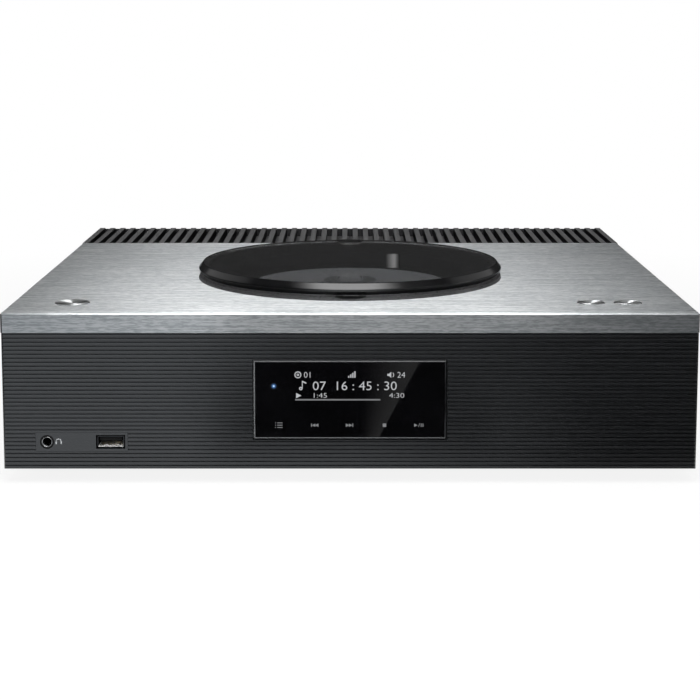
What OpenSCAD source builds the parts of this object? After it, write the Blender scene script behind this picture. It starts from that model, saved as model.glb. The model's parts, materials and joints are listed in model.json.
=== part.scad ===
// Compact CD receiver that loads from the top. A round smoked lid swings aside over a
// disc well in a brushed plate, the fascia is ribbed, and a finned heat sink closes the
// rear of the top. Millimetres, +X right, +Y to the rear, +Z up. The origin is the
// middle of the footprint, on the surface that the feet stand on.

/* [Case] */
// Width across the top plate
case_w = 340; // [330:1:400]
// Depth from the front face to the rear face
case_d = 325; // [320:1:380]
// Height from the case's underside to the top of the plate
case_h = 77.6; // [74:0.1:110]
// Thickness of the steel sheet
sheet_t = 1.2; // [0.8:0.1:2]
// Inset of the side panels from the top plate's edge
side_inset = 0.4; // [0.2:0.1:2]
// Width of the flanges that the top rests on
flange_w = 12; // [8:0.5:16]
// Height of the tray's turned-up edges
tray_lip = 10; // [6:0.5:14]
// Length of a cooling slot in the tray
slot_l = 34; // [20:1:44]
// Width of a cooling slot in the tray
slot_w = 3; // [2:0.5:4]
// Pitch of the cooling slots
slot_pitch = 8; // [6:0.5:10]
// Cooling slots in a row
slot_count = 9; // [4:1:12]
// Gap between the tray's edges and the flanges above them
flange_gap = 1; // [0.5:0.1:3]
// Clearance round the sockets in the tray's front edge
notch_gap = 1; // [0.6:0.1:2]

/* [Top plate] */
// Height of the plate's edge
plate_h = 9.8; // [8:0.1:14]
// Depth of the plate from front to rear
plate_d = 248; // [240:1:256]
// Thickness of the plate's top skin
plate_skin = 3; // [2:0.1:4]
// Thickness of the plate's edge walls
plate_lip = 5; // [3:0.1:8]
// Bevel along the top edges
plate_bevel = 0.8; // [0.5:0.1:2]
// Bevel at the front's upright corners
corner_bevel = 1; // [0.5:0.1:2]
// Seam between the plate and its neighbours
seam = 0.4; // [0.2:0.1:1]

/* [Heat sink] */
// Number of fins across the width
fin_count = 50; // [40:1:60]
// Thickness of a fin
fin_t = 3.5; // [2:0.1:4]
// Thickness of the slab under the fins
sink_slab = 4; // [3:0.1:6]
// Bevel at the rear end of a fin
fin_bevel = 0.6; // [0.4:0.1:3]
// Drop from the fins' tops to the rear panel's top edge
rear_drop = 0.8; // [0.6:0.1:4]

/* [Front panel] */
// Thickness of the front panel
panel_t = 5; // [4:0.1:8]
// Inset of the panel's ends from the top plate's edge
panel_inset = 0.3; // [0.1:0.1:1]
// Set-back of the ribs behind the top plate's front
panel_set = 0.2; // [0:0.1:1]
// Number of ribs
rib_count = 34; // [24:1:44]
// Depth of the grooves between the ribs
groove_depth = 0.7; // [0.3:0.1:1]
// Width of a groove at its mouth
groove_w = 0.9; // [0.5:0.1:1.2]
// Width of a groove at its floor
groove_floor = 0.4; // [0.2:0.1:0.6]

/* [Display window] */
// Width of the opening
win_w = 95.2; // [84:0.2:120]
// Height of the opening
win_h = 40; // [32:0.2:46]
// Height of the opening's middle above the case's underside
win_rise = 34.6; // [30:0.2:40]
// Gap between the glass and the opening
win_gap = 0.5; // [0.2:0.1:1]
// Ledge that the glass rests on
win_ledge = 3; // [2:0.5:5]
// Thickness of the glass
glass_t = 2.4; // [1.5:0.1:3]
// Set-back of the glass behind the ribs
glass_set = 0.3; // [0:0.1:0.6]
// Bevel round the glass
glass_bevel = 0.5; // [0.2:0.1:1]
// Thickness of a circuit board
board_t = 1.6; // [1:0.1:2]
// Width of the lit display
screen_w = 64; // [50:1:68]
// Height of the lit display
screen_h = 20; // [14:0.5:22]
// Height of the touch strip under the display
touch_h = 8; // [5:0.5:9]
// Gap between the display and the touch strip
touch_gap = 3; // [1:0.5:4]
// Radius of the status light
light_r = 0.8; // [0.5:0.1:1.5]
// Distance of the status light from the lit display's left edge
light_in = 4.9; // [2:0.1:6]
// Height of the status light above the window's middle
light_rise = 6.7; // [0:0.1:12]

/* [Front sockets] */
// Width of the smooth strip that holds the sockets
port_w = 45.2; // [42:0.2:60]
// Height of the strip
port_h = 9.7; // [9:0.1:12]
// Thickness of the strip
port_t = 2; // [1:0.1:3]
// Distance of the strip from the plate's left edge
port_in = 16.1; // [10:0.1:30]
// Height of the strip's middle above the case's underside
port_rise = 13.6; // [12:0.1:18]
// Clearance round inserted pieces
fit_gap = 0.1; // [0.05:0.05:0.3]
// Ledge behind the strip
port_ledge = 1; // [0.8:0.1:1.5]
// Distance of the headphone socket from the strip's left end
phone_in = 5.6; // [5:0.1:8]
// Radius of the headphone socket's collar
phone_r = 3.4; // [2.8:0.05:3.5]
// Radius of the plug's bore
phone_bore = 1.8; // [1.7:0.05:1.9]
// Length of the bore behind the ring
phone_l = 12; // [10:0.5:15]
// Radius of the bright ring
phone_ring = 2.5; // [2.2:0.05:2.7]
// Length of the bright ring
phone_ring_l = 2.5; // [1.5:0.1:3]
// Distance of the bus socket from the strip's right end
usb_in = 8.5; // [8:0.1:12]
// Width of the bus socket's shell
usb_w = 13.1; // [12.5:0.1:13.5]
// Height of the bus socket's shell
usb_h = 5.7; // [5.4:0.1:6]
// Wall of the bus socket's shell
usb_wall = 0.35; // [0.25:0.05:0.5]
// Depth of the bus socket
usb_l = 14; // [12:0.5:18]
// Set-back of the bus socket's mouth behind the strip's face
usb_set = 0.8; // [0:0.1:1.5]
// Gap round the bus socket in the strip
usb_gap = 0.6; // [0.1:0.1:1]
// Thickness of the bus socket's tongue
tongue_t = 1.8; // [1.6:0.1:2]
// Inset of the tongue from the shell's sides and mouth
tongue_in = 1; // [0.8:0.1:1.5]
// Gap between the tongue and the shell's roof
tongue_gap = 0.4; // [0.2:0.1:0.6]
// Thickness of the bus socket's back
usb_back = 1; // [0.6:0.1:2]
// Set-back of the bus socket's seat behind the panel
seat_set = 1; // [0.5:0.1:2]
// Wall of the headphone socket's body
socket_wall = 1.4; // [1:0.1:1.6]
// Wall of the headphone socket behind the strip
socket_side = 1; // [0.8:0.1:1.2]
// Margin of the sockets' board behind the headphone socket
port_over = 2; // [1:0.1:4]

/* [Buttons] */
// Radius of the power button
power_r = 8.35; // [6:0.05:10]
// Radius of a volume button
volume_r = 6.65; // [5:0.05:8]
// Spacing of the volume buttons
volume_pitch = 18.4; // [17:0.1:24]
// Distance of the outer buttons from the plate's ends
button_in = 30.4; // [26:0.1:40]
// Distance of the buttons from the plate's front
button_set = 29.2; // [27:0.1:34]
// Gap round a button
button_gap = 0.35; // [0.2:0.05:0.6]
// Height of a button above the plate
button_rise = 0.3; // [0:0.1:1]
// Depth of the dish in a button's top
dish = 0.5; // [0.2:0.1:0.8]
// Width of the flat rim round the dish
dish_rim = 0.7; // [0.4:0.1:1.2]
// Travel of a button
button_travel = 0.8; // [0.4:0.1:1.2]
// Width of the collar that holds a button under the plate
collar_w = 1.2; // [0.8:0.1:2]
// Thickness of that collar
collar_t = 1; // [0.8:0.1:1.5]
// Height of a key switch on its board
key_h = 4; // [3:0.1:6]
// Size of a key switch
key_w = 6; // [5:0.1:7]
// Radius of a key switch's cap
key_cap_r = 1.6; // [1.2:0.1:2]
// Height of a key switch's cap
key_cap_h = 1; // [0.6:0.1:1.5]
// Radius of the bosses that carry the key boards
key_boss_r = 2.5; // [2:0.1:3]
// Gap between a button's collar and a boss
key_boss_gap = 1; // [0.5:0.1:2]
// Radius of a button's stem
stem_r = 2.5; // [2:0.1:3.5]
// Length of a button's stem below its collar
stem_l = 1; // [0.5:0.1:2]
// Bevel round a button's top edge
button_bevel = 0.2; // [0.1:0.05:0.4]

/* [Disc well and lid] */
// Diameter of the disc
disc_d = 120; // [110:1:124]
// Clearance round the disc
disc_clear = 3.3; // [2:0.1:5]
// Distance of the well's middle from the plate's front
well_set = 117.5; // [116:0.5:124]
// Depth of the well's floor below the plate
well_depth = 9.6; // [8:0.1:12]
// Wall of the well
well_t = 2.2; // [1.6:0.1:3]
// Width of the slope between the well's floor and its wall
rest_w = 8.8; // [2:0.1:12]
// Rise of that slope
rest_h = 1.4; // [0.5:0.1:1.6]
// Drop from the plate to the top of the well's upright wall
rim_drop = 2; // [1:0.1:2.6]
// Width of the sloping rim
rim_w = 14.7; // [12:0.1:18]
// Height of the sloping rim's edge above the plate
rim_rise = 1.3; // [0.4:0.1:1.6]
// Width of the well's flange under the plate
rim_flange = 7; // [5:0.5:9]
// Width of the ring round the well
ring_w = 5.4; // [4:0.1:7]
// Height of the ring's inner edge
ring_h = 2; // [1.8:0.1:2.2]
// Height of the ring's outer edge
ring_edge = 1.6; // [0.4:0.1:1.8]
// Slope of the ring's outer edge
ring_slope = 0.4; // [0.2:0.1:0.8]
// Overhang of the lid past the ring
lid_over = 0; // [0:0.1:2]
// Height of the lid's top above the plate
lid_rise = 8.8; // [8.4:0.1:14]
// Thickness of the lid
lid_t = 6.2; // [5:0.1:6.4]
// Height of the lid's upper bevel
lid_bevel_h = 3.1; // [2:0.1:4]
// Width of the lid's upper bevel
lid_bevel_w = 2.5; // [1:0.1:4]
// Height of the upright band at the lid's widest
lid_band = 0.6; // [0.4:0.1:1]
// Width of the lid's lower bevel
lid_under = 2.1; // [1:0.1:3]

/* [Lid pivot] */
// Distance of the pivot inside the sloping rim's edge
pivot_in = 2.6; // [2:0.1:4]
// Radius of the pivot pin
pin_r = 4; // [3:0.1:4.5]
// Running clearance of the pin
run_gap = 0.05; // [0.02:0.01:0.1]
// Wall of the bush in the lid
bush_t = 2.1; // [1.5:0.1:2.5]
// Radius of the lid's ear round the pivot
ear_r = 11; // [10.4:0.1:13]
// Radius of the cap over the pivot
cap_r = 7.4; // [7:0.1:7.8]
// Thickness of the cap
cap_t = 2; // [1.5:0.1:2.5]
// Bevel round the cap
cap_bevel = 0.3; // [0.1:0.1:0.6]
// Thickness of the washer under the lid
washer_t = 0.5; // [0.3:0.1:0.8]
// Wall of the boss round the pin
boss_t = 2.2; // [1.5:0.1:3]
// Length of the boss below the well's flange
boss_l = 12; // [8:0.5:16]
// Thickness of the pin's head
pin_head = 2; // [1.5:0.1:3]

/* [Disc drive] */
// Height of the disc's seat above the well's floor
disc_lift = 2; // [1.5:0.1:3]
// Radius of the turntable
table_r = 15; // [13:0.1:17]
// Thickness of the turntable under its mat
table_t = 2.6; // [2:0.1:3.5]
// Thickness of the mat
mat_t = 0.5; // [0.3:0.1:1]
// Radius of the centring hub
hub_r = 7.4; // [7:0.05:7.45]
// Height of the hub above the mat
hub_h = 2.6; // [2.2:0.1:3.5]
// Bevel round the hub's top
hub_bevel = 1.2; // [0.8:0.1:1.8]
// Inset of the mat from the turntable's edge
mat_in = 0.4; // [0.2:0.1:1]
// Radius of the balls that grip the disc
ball_r = 1.1; // [0.8:0.1:1.3]
// Height of the balls' underside above the mat
ball_lift = 0.2; // [0.1:0.1:0.4]
// Radius of the spindle
shaft_r = 1; // [0.75:0.05:1.5]
// Radius of the spindle motor
spin_r = 11.5; // [9:0.5:12]
// Drop from the well's underside to the spindle motor's nose
motor_drop = 2; // [1.5:0.1:3]
// Thickness of the spindle motor's floor
motor_floor = 1; // [0.6:0.1:2]
// Wall of the spindle motor's nose
nose_t = 2; // [1:0.1:3]
// Height of the spindle motor's nose
nose_h = 1; // [0.5:0.1:2]
// Gap between the turntable and the hole in the floor
hub_gap = 1.2; // [0.8:0.1:2]
// Drop from the well's underside to the drive's frame
mech_drop = 8.7; // [8:0.1:12]
// Thickness of the drive's frame
mech_t = 2; // [1.5:0.1:3]
// Half width of the drive's frame
mech_w = 45; // [44:0.5:50]
// Half depth of the drive's frame
mech_d = 56; // [54:0.5:60]
// Length of the frame's front tongue
mech_tongue = 24; // [22:0.5:28]
// Margin of the front tongue beside the rods and the screw
tongue_side = 8; // [6:0.5:12]
// Half spacing of the rubber mounts across
mount_w = 38; // [36.5:0.5:38.5]
// Half spacing of the rubber mounts in depth
mount_d = 46; // [42:0.5:47]
// Radius of a rubber mount
mount_r = 4.5; // [4:0.1:5]
// Radius of the pegs through the rubber mounts
peg_r = 1.8; // [1.5:0.1:2.2]
// Clearance of the pegs in the drive's frame
peg_gap = 0.6; // [0.4:0.1:1]
// Height of a rubber mount
mount_h = 4; // [3:0.1:5]
// Radius of the pickup's inner position
lens_in = 25; // [24.5:0.1:26]
// Travel of the pickup
lens_travel = 33; // [28:0.5:33]
// Clearance at the ends of the pickup's travel
travel_gap = 1; // [0.5:0.1:1.5]
// Clearance of the lens holder at the ends of its slot
slot_gap = 0.5; // [0.3:0.1:1]
// Length of the pickup sled
sled_l = 24; // [20:0.5:24]
// Width of the pickup sled
sled_w = 42; // [38:0.5:44]
// Height of the pickup sled
sled_h = 6; // [5.6:0.1:6.4]
// Gap between the sled and the well's underside
sled_gap = 0.8; // [0.5:0.1:1.2]
// Radius of a guide rod or of the feed screw
rod_r = 1.5; // [1.2:0.05:1.8]
// Height of the rods above the sled's underside
rod_rise = 2.7; // [2.5:0.1:3]
// Thickness of the blocks that hold the rods
block_t = 3.5; // [3:0.1:5]
// Wall of a block round its rod
block_wall = 1.6; // [1:0.1:2]
// Length of the sled's nut on the feed screw
nut_w = 10; // [8:0.5:14]
// Wall of that nut
nut_wall = 2.2; // [1.5:0.1:2.6]
// Distance of the guide rods from the middle
rod_x = 16; // [14:0.5:17]
// Distance of the feed screw from the middle
screw_x = 27; // [26.5:0.5:29]
// Radius of the lens
lens_r = 2.2; // [1.8:0.1:2.6]
// Size of the lens holder
lens_w = 8; // [6:0.5:10]
// Thickness of the lens
lens_t = 1; // [0.8:0.1:1.5]
// Height of the lens's dome
lens_dome = 0.4; // [0.2:0.1:0.6]
// Radius of the flat on the lens's dome
lens_flat = 1.32; // [1:0.02:1.6]
// Height of the lens holder above the sled
lens_h = 3; // [2:0.1:3.2]
// Width of the slot in the well's floor
well_slot = 14; // [12:0.5:18]
// Radius of the feed motor
feed_r = 3.8; // [3:0.1:4]
// Length of the feed motor
feed_l = 16; // [12:0.5:20]
// Distance of the feed motor's front behind the spindle
feed_set = 1; // [0.5:0.5:4]
// Length of the feed screw inside its motor
screw_seat = 3; // [2:0.1:4]
// Set-back of the feed screw's end in its front block
screw_end = 0.5; // [0.2:0.1:1]
// Set-in of the motor's cradle from the motor's ends
cradle_in = 2; // [1:0.1:3]
// Wall of the cradle and its drop below the motor's middle
cradle_t = 1; // [0.8:0.1:2]

/* [Feet] */
// Height of the feet below the case
foot_h = 7.6; // [6:0.1:14]
// Radius of a foot
foot_r = 18; // [14:0.5:22]
// Distance of the feet from the plate's ends
foot_in = 36; // [26:0.5:60]
// Distance of the front feet from the front
foot_front = 52; // [46:0.5:70]
// Distance of the rear feet from the rear panel
foot_rear = 38; // [26:0.5:60]
// Radius of a rubber pad
pad_r = 13; // [10:0.5:13]
// Height of a pad
pad_h = 2.5; // [1.5:0.1:3]
// Height that a pad stands out of its foot
pad_out = 1; // [0.5:0.1:1.4]
// Radius of a foot's screw
foot_screw = 1.5; // [1.2:0.1:2]
// Length of a foot's screw above the tray
foot_screw_tip = 3; // [2:0.1:5]
// Bevel round a foot
foot_bevel = 1.5; // [0.5:0.1:3]
// Bevel round a pad
pad_bevel = 0.5; // [0.2:0.1:0.8]

/* [Rear terminals] */
// Reach of the speaker terminals behind the rear panel
terminal_reach = 16; // [14:0.5:22]
// Radius of a terminal's knob
knob_r = 6.5; // [5.5:0.1:8]
// Radius of a terminal's post
post_r = 3.5; // [3:0.1:4]
// Radius of the plug's bore in a post
banana_r = 2.05; // [2:0.05:2.1]
// Depth of the plug's bore
banana_l = 12; // [10:0.5:13]
// Thickness of the terminals' base
base_t = 3; // [2:0.1:4]
// Gap between a knob and the base
knob_gap = 0.3; // [0.2:0.1:0.6]
// Drop from a post's end to its knob's end
knob_drop = 0.5; // [0.2:0.1:1]
// Length of the connectors' tails inside the panel
tail_l = 6; // [4:0.5:8]
// Spacing of the terminals
terminal_pitch = 22; // [18:0.5:26]
// Position of the terminals across the panel
terminal_x = 74; // [70:1:80]
// Height of the terminals' middle above the case's underside
terminal_rise = 34; // [30:0.5:38]
// Flutes round a knob
flute_count = 12; // [8:1:18]
// Radius of a flute
flute_r = 0.8; // [0.5:0.1:1]
// Length of a knob's plain collar
flute_set = 1.5; // [1:0.1:3]
// Step from a socket's barrel to its neck in the panel
neck_step = 1; // [0.8:0.1:1.5]
// Wall of a socket's barrel
barrel_t = 0.6; // [0.4:0.1:0.8]
// Radius of a phono socket's barrel
phono_r = 4.2; // [4:0.05:4.4]
// Length of a phono socket's barrel
phono_l = 9; // [8:0.5:11]
// Width and thickness of a phono socket's flange
phono_flange = 1.2; // [0.8:0.1:1.6]
// Radius of the plug's bore in a phono socket
phono_bore = 1.6; // [1.55:0.01:1.7]
// Thickness of the insert behind that bore
insert_floor = 0.6; // [0.4:0.1:1]
// Drop from a phono barrel's mouth to its insert
insert_drop = 1.5; // [1:0.1:2]
// Spacing of the phono sockets
phono_pitch = 18; // [15:0.5:20]
// Height of the phono sockets' middle above the case's underside
phono_rise = 32; // [28:0.5:40]
// Columns of phono sockets
phono_columns = 3; // [1:1:3]
// Width of the optical socket
optical_w = 10; // [9:0.1:12]
// Position of the optical socket across the panel
optical_x = -44; // [-46:1:-42]
// Depth of the optical socket inside the panel
optical_l = 8; // [6:0.5:12]
// Height of the optical socket outside the panel
optical_rim = 1.2; // [0.8:0.1:2]
// Width of its flange inside the panel
optical_flange = 1.5; // [1:0.1:2]
// Width of the optical socket's dust cap
plug_w = 6.4; // [5:0.1:8]
// Thickness of the dust cap
plug_t = 1; // [0.6:0.1:2]
// Thickness of the dust cap's grip
grip_t = 1.92; // [1.5:0.01:3]
// Length of the dust cap's grip
grip_l = 4.8; // [3:0.1:7]
// Width of the network socket
lan_w = 16; // [15.5:0.1:17]
// Height of the network socket
lan_h = 13.6; // [13.2:0.1:15]
// Position of the network socket across the panel
lan_x = -76; // [-84:1:-70]
// Depth of the network socket
lan_l = 12; // [10:0.5:13]
// Height of the network socket outside the panel
lan_rim = 0.6; // [0.4:0.1:1.5]
// Width of the network socket's flange inside the panel
lan_flange = 1.2; // [0.8:0.1:2]
// Wall of the network socket
lan_wall = 2; // [1.6:0.1:2.4]
// Wall under the network socket's contacts
lan_sill = 3; // [2.6:0.1:3.4]
// Width of the latch's groove
latch_w = 6.4; // [6:0.1:7]
// Wall under the latch's groove
latch_sill = 1; // [0.8:0.1:1.4]
// Distance of the groove from the socket's back
latch_set = 4; // [3:0.1:5]
// Position of the aerial socket, from the rear panel's end
aerial_x = 51.6; // [44:0.2:60]
// Radius of the aerial socket's barrel
aerial_r = 4.75; // [4.5:0.05:5]
// Width and thickness of the aerial socket's flange
aerial_flange = 1.5; // [1:0.1:2]
// Radius of the aerial socket's centre contact
contact_r = 1.2; // [1:0.1:1.5]
// Drop from the barrel's mouth to that contact
contact_drop = 1; // [0.5:0.1:2]
// Position of the mains inlet, from the rear panel's end
inlet_x = 43.6; // [38:0.2:50]
// Height of the mains inlet above the case's underside
inlet_rise = 24; // [20:0.5:40]
// Spacing of the mains inlet's pins
inlet_pitch = 8.6; // [8.4:0.1:9]
// Radius of the mains inlet's lobes
inlet_r = 4.6; // [4.4:0.05:4.9]
// Depth of the mains inlet
inlet_l = 12; // [10:0.5:14]
// Wall round the mains inlet
inlet_wall = 3; // [2:0.1:4]
// Half height of the inlet between its lobes
inlet_waist = 3.45; // [3:0.05:4]
// Thickness of the inlet's floor
inlet_floor = 1; // [0.8:0.1:2]
// Width of the inlet's flange
inlet_flange = 2; // [1:0.1:3]
// Thickness of the inlet's flange
inlet_rim = 1.5; // [1:0.1:2]
// Radius of the inlet's pins
inlet_pin_r = 1.18; // [1.1:0.01:1.3]
// Drop from the panel to the pins' ends
inlet_pin_drop = 2; // [1:0.1:4]
// Depth of the connectors' bodies behind the rear panel
body_l = 14; // [14:0.5:18]
// Radius of a panel screw
screw_r = 1.5; // [1.2:0.1:2]
// Radius of a panel screw's head
head_r = 2.8; // [2.4:0.1:3.5]
// Height of a panel screw's head
head_h = 1.8; // [1.2:0.1:2.4]
// Distance of the rear screws from the panel's edges
screw_in = 6; // [5:0.5:8]
// Length of a rear screw inside the panel
rear_screw_l = 6; // [4:0.5:10]
// Length of a board's screw below its head
board_screw_l = 5; // [4:0.5:6]

/* [Boards inside] */
// Height of the spacers under the boards
spacer_h = 8; // [5:0.5:12]
// Radius of a spacer
spacer_r = 3.5; // [3:0.1:5]
// Distance of a spacer from a board's corner
spacer_in = 6; // [5:0.5:8]
// Depth of the boards
board_d = 104; // [90:1:110]
// Gap between the boards and the case's sides
board_side = 14; // [14:0.5:20]
// Gap between the main board and the power supply
board_gap = 26.8; // [4:0.1:40]
// Gap between the rear connectors and the boards
board_back = 2; // [1:0.1:4]
// Side of a processor
processor_w = 18; // [12:0.5:24]
// Height of a processor
processor_h = 2; // [1:0.1:4]
// Radius of a small capacitor
small_can_r = 4; // [3:0.1:5]
// Height of a small capacitor
small_can_h = 11; // [8:0.5:16]
// Spacing of the small capacitors
small_can_pitch = 16; // [12:0.5:20]
// Width of the power supply board
supply_w = 92; // [84:1:96]
// Side of the transformer's core
core_w = 34; // [28:1:40]
// Height of the transformer's core
core_h = 26; // [20:1:32]
// Radius of a filter capacitor
can_r = 9; // [7:0.5:11]
// Height of a filter capacitor
can_h = 32; // [24:1:36]
// Half the gap between the filter capacitors
can_side = 2; // [1:0.1:4]
// Gap between the filter capacitors and the core
can_set = 3; // [1:0.1:6]
// Width of the amplifier board
amp_w = 150; // [120:1:200]
// Depth of the amplifier board
amp_d = 48; // [40:1:52]
// Thickness of a power transistor
chip_t = 4; // [3:0.1:5]
// Width of a power transistor
chip_w = 16; // [12:0.5:20]
// Depth of a power transistor
chip_d = 12; // [10:0.5:16]
// Size of an output coil
coil_w = 14; // [10:0.5:16]
// Height of an output coil
coil_h = 10; // [8:0.5:14]

/* [Hidden] */
$fn = 96;
skim = 0.5;

// Places that the pieces share
front_y = -(case_d + terminal_reach) / 2;
rear_y = front_y + case_d;
inner_y = rear_y - sheet_t;
half_w = case_w / 2;
side_x = half_w - side_inset;
inner_x = side_x - sheet_t;
base_z = foot_h;
tray_z = base_z + sheet_t;
top_z = base_z + case_h;
plate_z = top_z - plate_h;
skin_z = top_z - plate_skin;
plate_back = front_y + plate_d;
sink_front = plate_back + seam;

// Front panel and what sits in it
face_y = front_y + panel_set;
panel_back = front_y + panel_t;
panel_top = plate_z - seam;
panel_h = panel_top - base_z;
rib_pitch = panel_h / rib_count;
panel_x = half_w - panel_inset;
win_z = base_z + win_rise;
glass_y = face_y + glass_set;
glass_back = glass_y + glass_t;
sill_w = win_w - 2 * win_ledge;
sill_h = win_h - 2 * win_ledge;
touch_z = win_z - sill_h / 2 + fit_gap;
screen_z = touch_z + touch_h + touch_gap;
port_x = -half_w + port_in;
port_z = base_z + port_rise;
port_back = face_y + port_t;
phone_x = port_x + phone_in;
usb_x = port_x + port_w - usb_in;
usb_y = face_y + usb_set;
usb_end = usb_y + usb_l;
phone_end = face_y + phone_ring_l + phone_l;
port_board_z = port_z - phone_r - socket_wall;

// Buttons
button_y = front_y + button_set;
power_x = -half_w + button_in;
volume_x = half_w - button_in;
collar_z = skin_z - fit_gap;
stem_z = collar_z - collar_t - stem_l;
key_top = stem_z - button_travel - fit_gap;
key_board_z = key_top - key_h;

// Disc well and lid, around the well's own middle
well_y = front_y + well_set;
well_r = disc_d / 2 + disc_clear;
rim_r = well_r + rim_w;
ring_in = rim_r + 2 * fit_gap;
ring_r = ring_in + ring_w;
lid_r = ring_r + lid_over;
lid_top = top_z + lid_rise;
lid_low = lid_top - lid_t;
floor_z = top_z - well_depth;
under_z = floor_z - well_t;
flange_z = skin_z - well_t;
pivot_y = rim_r - pivot_in;
bush_r = pin_r + run_gap + bush_t;
boss_r = pin_r + boss_t;
boss_top = lid_low - washer_t - run_gap;
boss_low = flange_z - boss_l;

// Disc drive
seat_z = floor_z + disc_lift;
table_z = seat_z - mat_t - table_t;
mech_z = under_z - mech_drop;
sled_top = under_z - sled_gap;
sled_z = sled_top - sled_h;
lens_z = sled_top + lens_h - lens_t;
rod_z = sled_z + rod_rise;
sled_front = -lens_in - sled_l / 2;
rod_front = sled_front - lens_travel - travel_gap;
rod_back = -lens_in + sled_l / 2 + travel_gap;
block_rise = rod_r + block_wall;
motor_z = under_z - motor_drop;

// Rear terminals
terminal_z = base_z + terminal_rise;
phono_z = base_z + phono_rise;
lan_back = inner_y - lan_l;
inlet_z = base_z + inlet_rise;
post_end = rear_y + terminal_reach;
knob_y = rear_y + base_t + knob_gap;
knob_end = post_end - knob_drop;
rear_top = top_z - rear_drop;

// Boards
board_z = tray_z + spacer_h;
board_top = board_z + board_t;
board_y1 = inner_y - body_l - board_back;
board_y0 = board_y1 - board_d;
main_x0 = -inner_x + board_side;
supply_x0 = inner_x - board_side - supply_w;
main_w = supply_x0 - board_gap - main_x0;
boards = [[main_x0, main_w], [supply_x0, supply_w]];
amp_y = (sink_front + inner_y) / 2;
amp_z = plate_z - chip_t;

// A block between two corners
module block(x0, x1, y0, y1, z0, z1) {
  translate([x0, y0, z0]) cube([x1 - x0, y1 - y0, z1 - z0]);
}

// A round bar along Z, or along Y
module bar_z(r, z0, z1) {
  translate([0, 0, z0]) cylinder(r = r, h = z1 - z0);
}
module bar_y(r, y0, y1) {
  translate([0, y0, 0]) rotate([-90, 0, 0]) cylinder(r = r, h = y1 - y0);
}

// A profile drawn in depth and height, drawn out across; and one in width and height, drawn out in depth
module across(x0, x1) {
  translate([x0, 0, 0]) rotate([90, 0, 90]) linear_extrude(x1 - x0) children();
}
module inward(y0, y1) {
  translate([0, y1, 0]) rotate([90, 0, 0]) linear_extrude(y1 - y0) children();
}

// The middle of the disc well, and the lid's pivot
module at_well() {
  translate([0, well_y, 0]) children();
}
module at_pivot() {
  translate([0, well_y + pivot_y, 0]) children();
}

// Every corner of a rectangle
module corners(x, y) {
  for (i = [-1, 1], j = [-1, 1]) translate([i * x, j * y, 0]) children();
}

// Plan of a piece whose two front corners are bevelled
module cut_corners(x, y0, y1) {
  polygon([[-x + corner_bevel, y0], [x - corner_bevel, y0], [x, y0 + corner_bevel],
           [x, y1], [-x, y1], [-x, y0 + corner_bevel]]);
}

// A flat piece whose four front edges are bevelled
module bevelled(x0, x1, y0, y1, z0, z1, c) {
  intersection() {
    across(x0, x1) polygon([[y0, z0 + c], [y0 + c, z0], [y1, z0], [y1, z1], [y0 + c, z1], [y0, z1 - c]]);
    translate([0, 0, z0]) linear_extrude(z1 - z0)
      polygon([[x0 + c, y0], [x1 - c, y0], [x1, y0 + c], [x1, y1], [x0, y1], [x0, y0 + c]]);
  }
}

module at_feet() {
  for (x = [-1, 1], y = [front_y + foot_front, rear_y - foot_rear])
    translate([x * (half_w - foot_in), y, 0]) children();
}

// Tray with turned-up edges, cooling slots and spacers for the boards
module base_tray() color("#26272a") {
  difference() {
    union() {
      block(-inner_x, inner_x, panel_back, inner_y, base_z, tray_z);
      for (s = [-1, 1])
        block(s * inner_x - (s > 0 ? sheet_t : 0), s * inner_x + (s < 0 ? sheet_t : 0),
              panel_back, inner_y, base_z, base_z + tray_lip);
      difference() {
        block(-inner_x, inner_x, panel_back, panel_back + sheet_t, base_z, base_z + tray_lip);
        block(port_x - notch_gap, port_x + port_w + notch_gap, panel_back - skim, panel_back + sheet_t + skim,
              port_board_z - board_t - notch_gap / 2, top_z);
      }
      at_spacers() bar_z(spacer_r, base_z, board_z);
    }
    at_feet() bar_z(foot_screw + fit_gap, base_z - skim, tray_z + skim);
    at_spacers() bar_z(screw_r, tray_z, board_z + skim);
    for (s = [-1, 1], i = [0 : slot_count - 1],
         y = [front_y + foot_front + foot_r + slot_l / 2, well_y + pivot_y])
      translate([s * half_w / 2 + (i - (slot_count - 1) / 2) * slot_pitch, y, base_z - skim])
        slot_cut(sheet_t + 2 * skim);
  }
}

module slot_cut(h) {
  for (j = [-1, 1]) translate([0, j * (slot_l - slot_w) / 2, 0]) cylinder(d = slot_w, h = h);
  translate([-slot_w / 2, -(slot_l - slot_w) / 2, 0]) cube([slot_w, slot_l - slot_w, h]);
}

module at_spacers() {
  for (b = boards, x = [b[0] + spacer_in, b[0] + b[1] - spacer_in],
       y = [board_y0 + spacer_in, board_y1 - spacer_in])
    translate([x, y, 0]) children();
}

// Side panel: an upright sheet with a flange that the top rests on and one for the rear panel's screws
module side_panel() {
  block(inner_x, side_x, panel_back, inner_y, base_z, plate_z);
  block(side_x - flange_w, side_x, panel_back, inner_y, plate_z - sheet_t, plate_z);
  difference() {
    block(side_x - flange_w, side_x, inner_y - sheet_t, inner_y, base_z + tray_lip + flange_gap, plate_z);
    at_rear_screws() bar_y(screw_r + fit_gap / 4, inner_y - 2 * sheet_t, rear_y);
  }
}
module right_side_panel() color("#2b2c2f") side_panel();
module left_side_panel() color("#2b2c2f") mirror([1, 0, 0]) side_panel();

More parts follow.
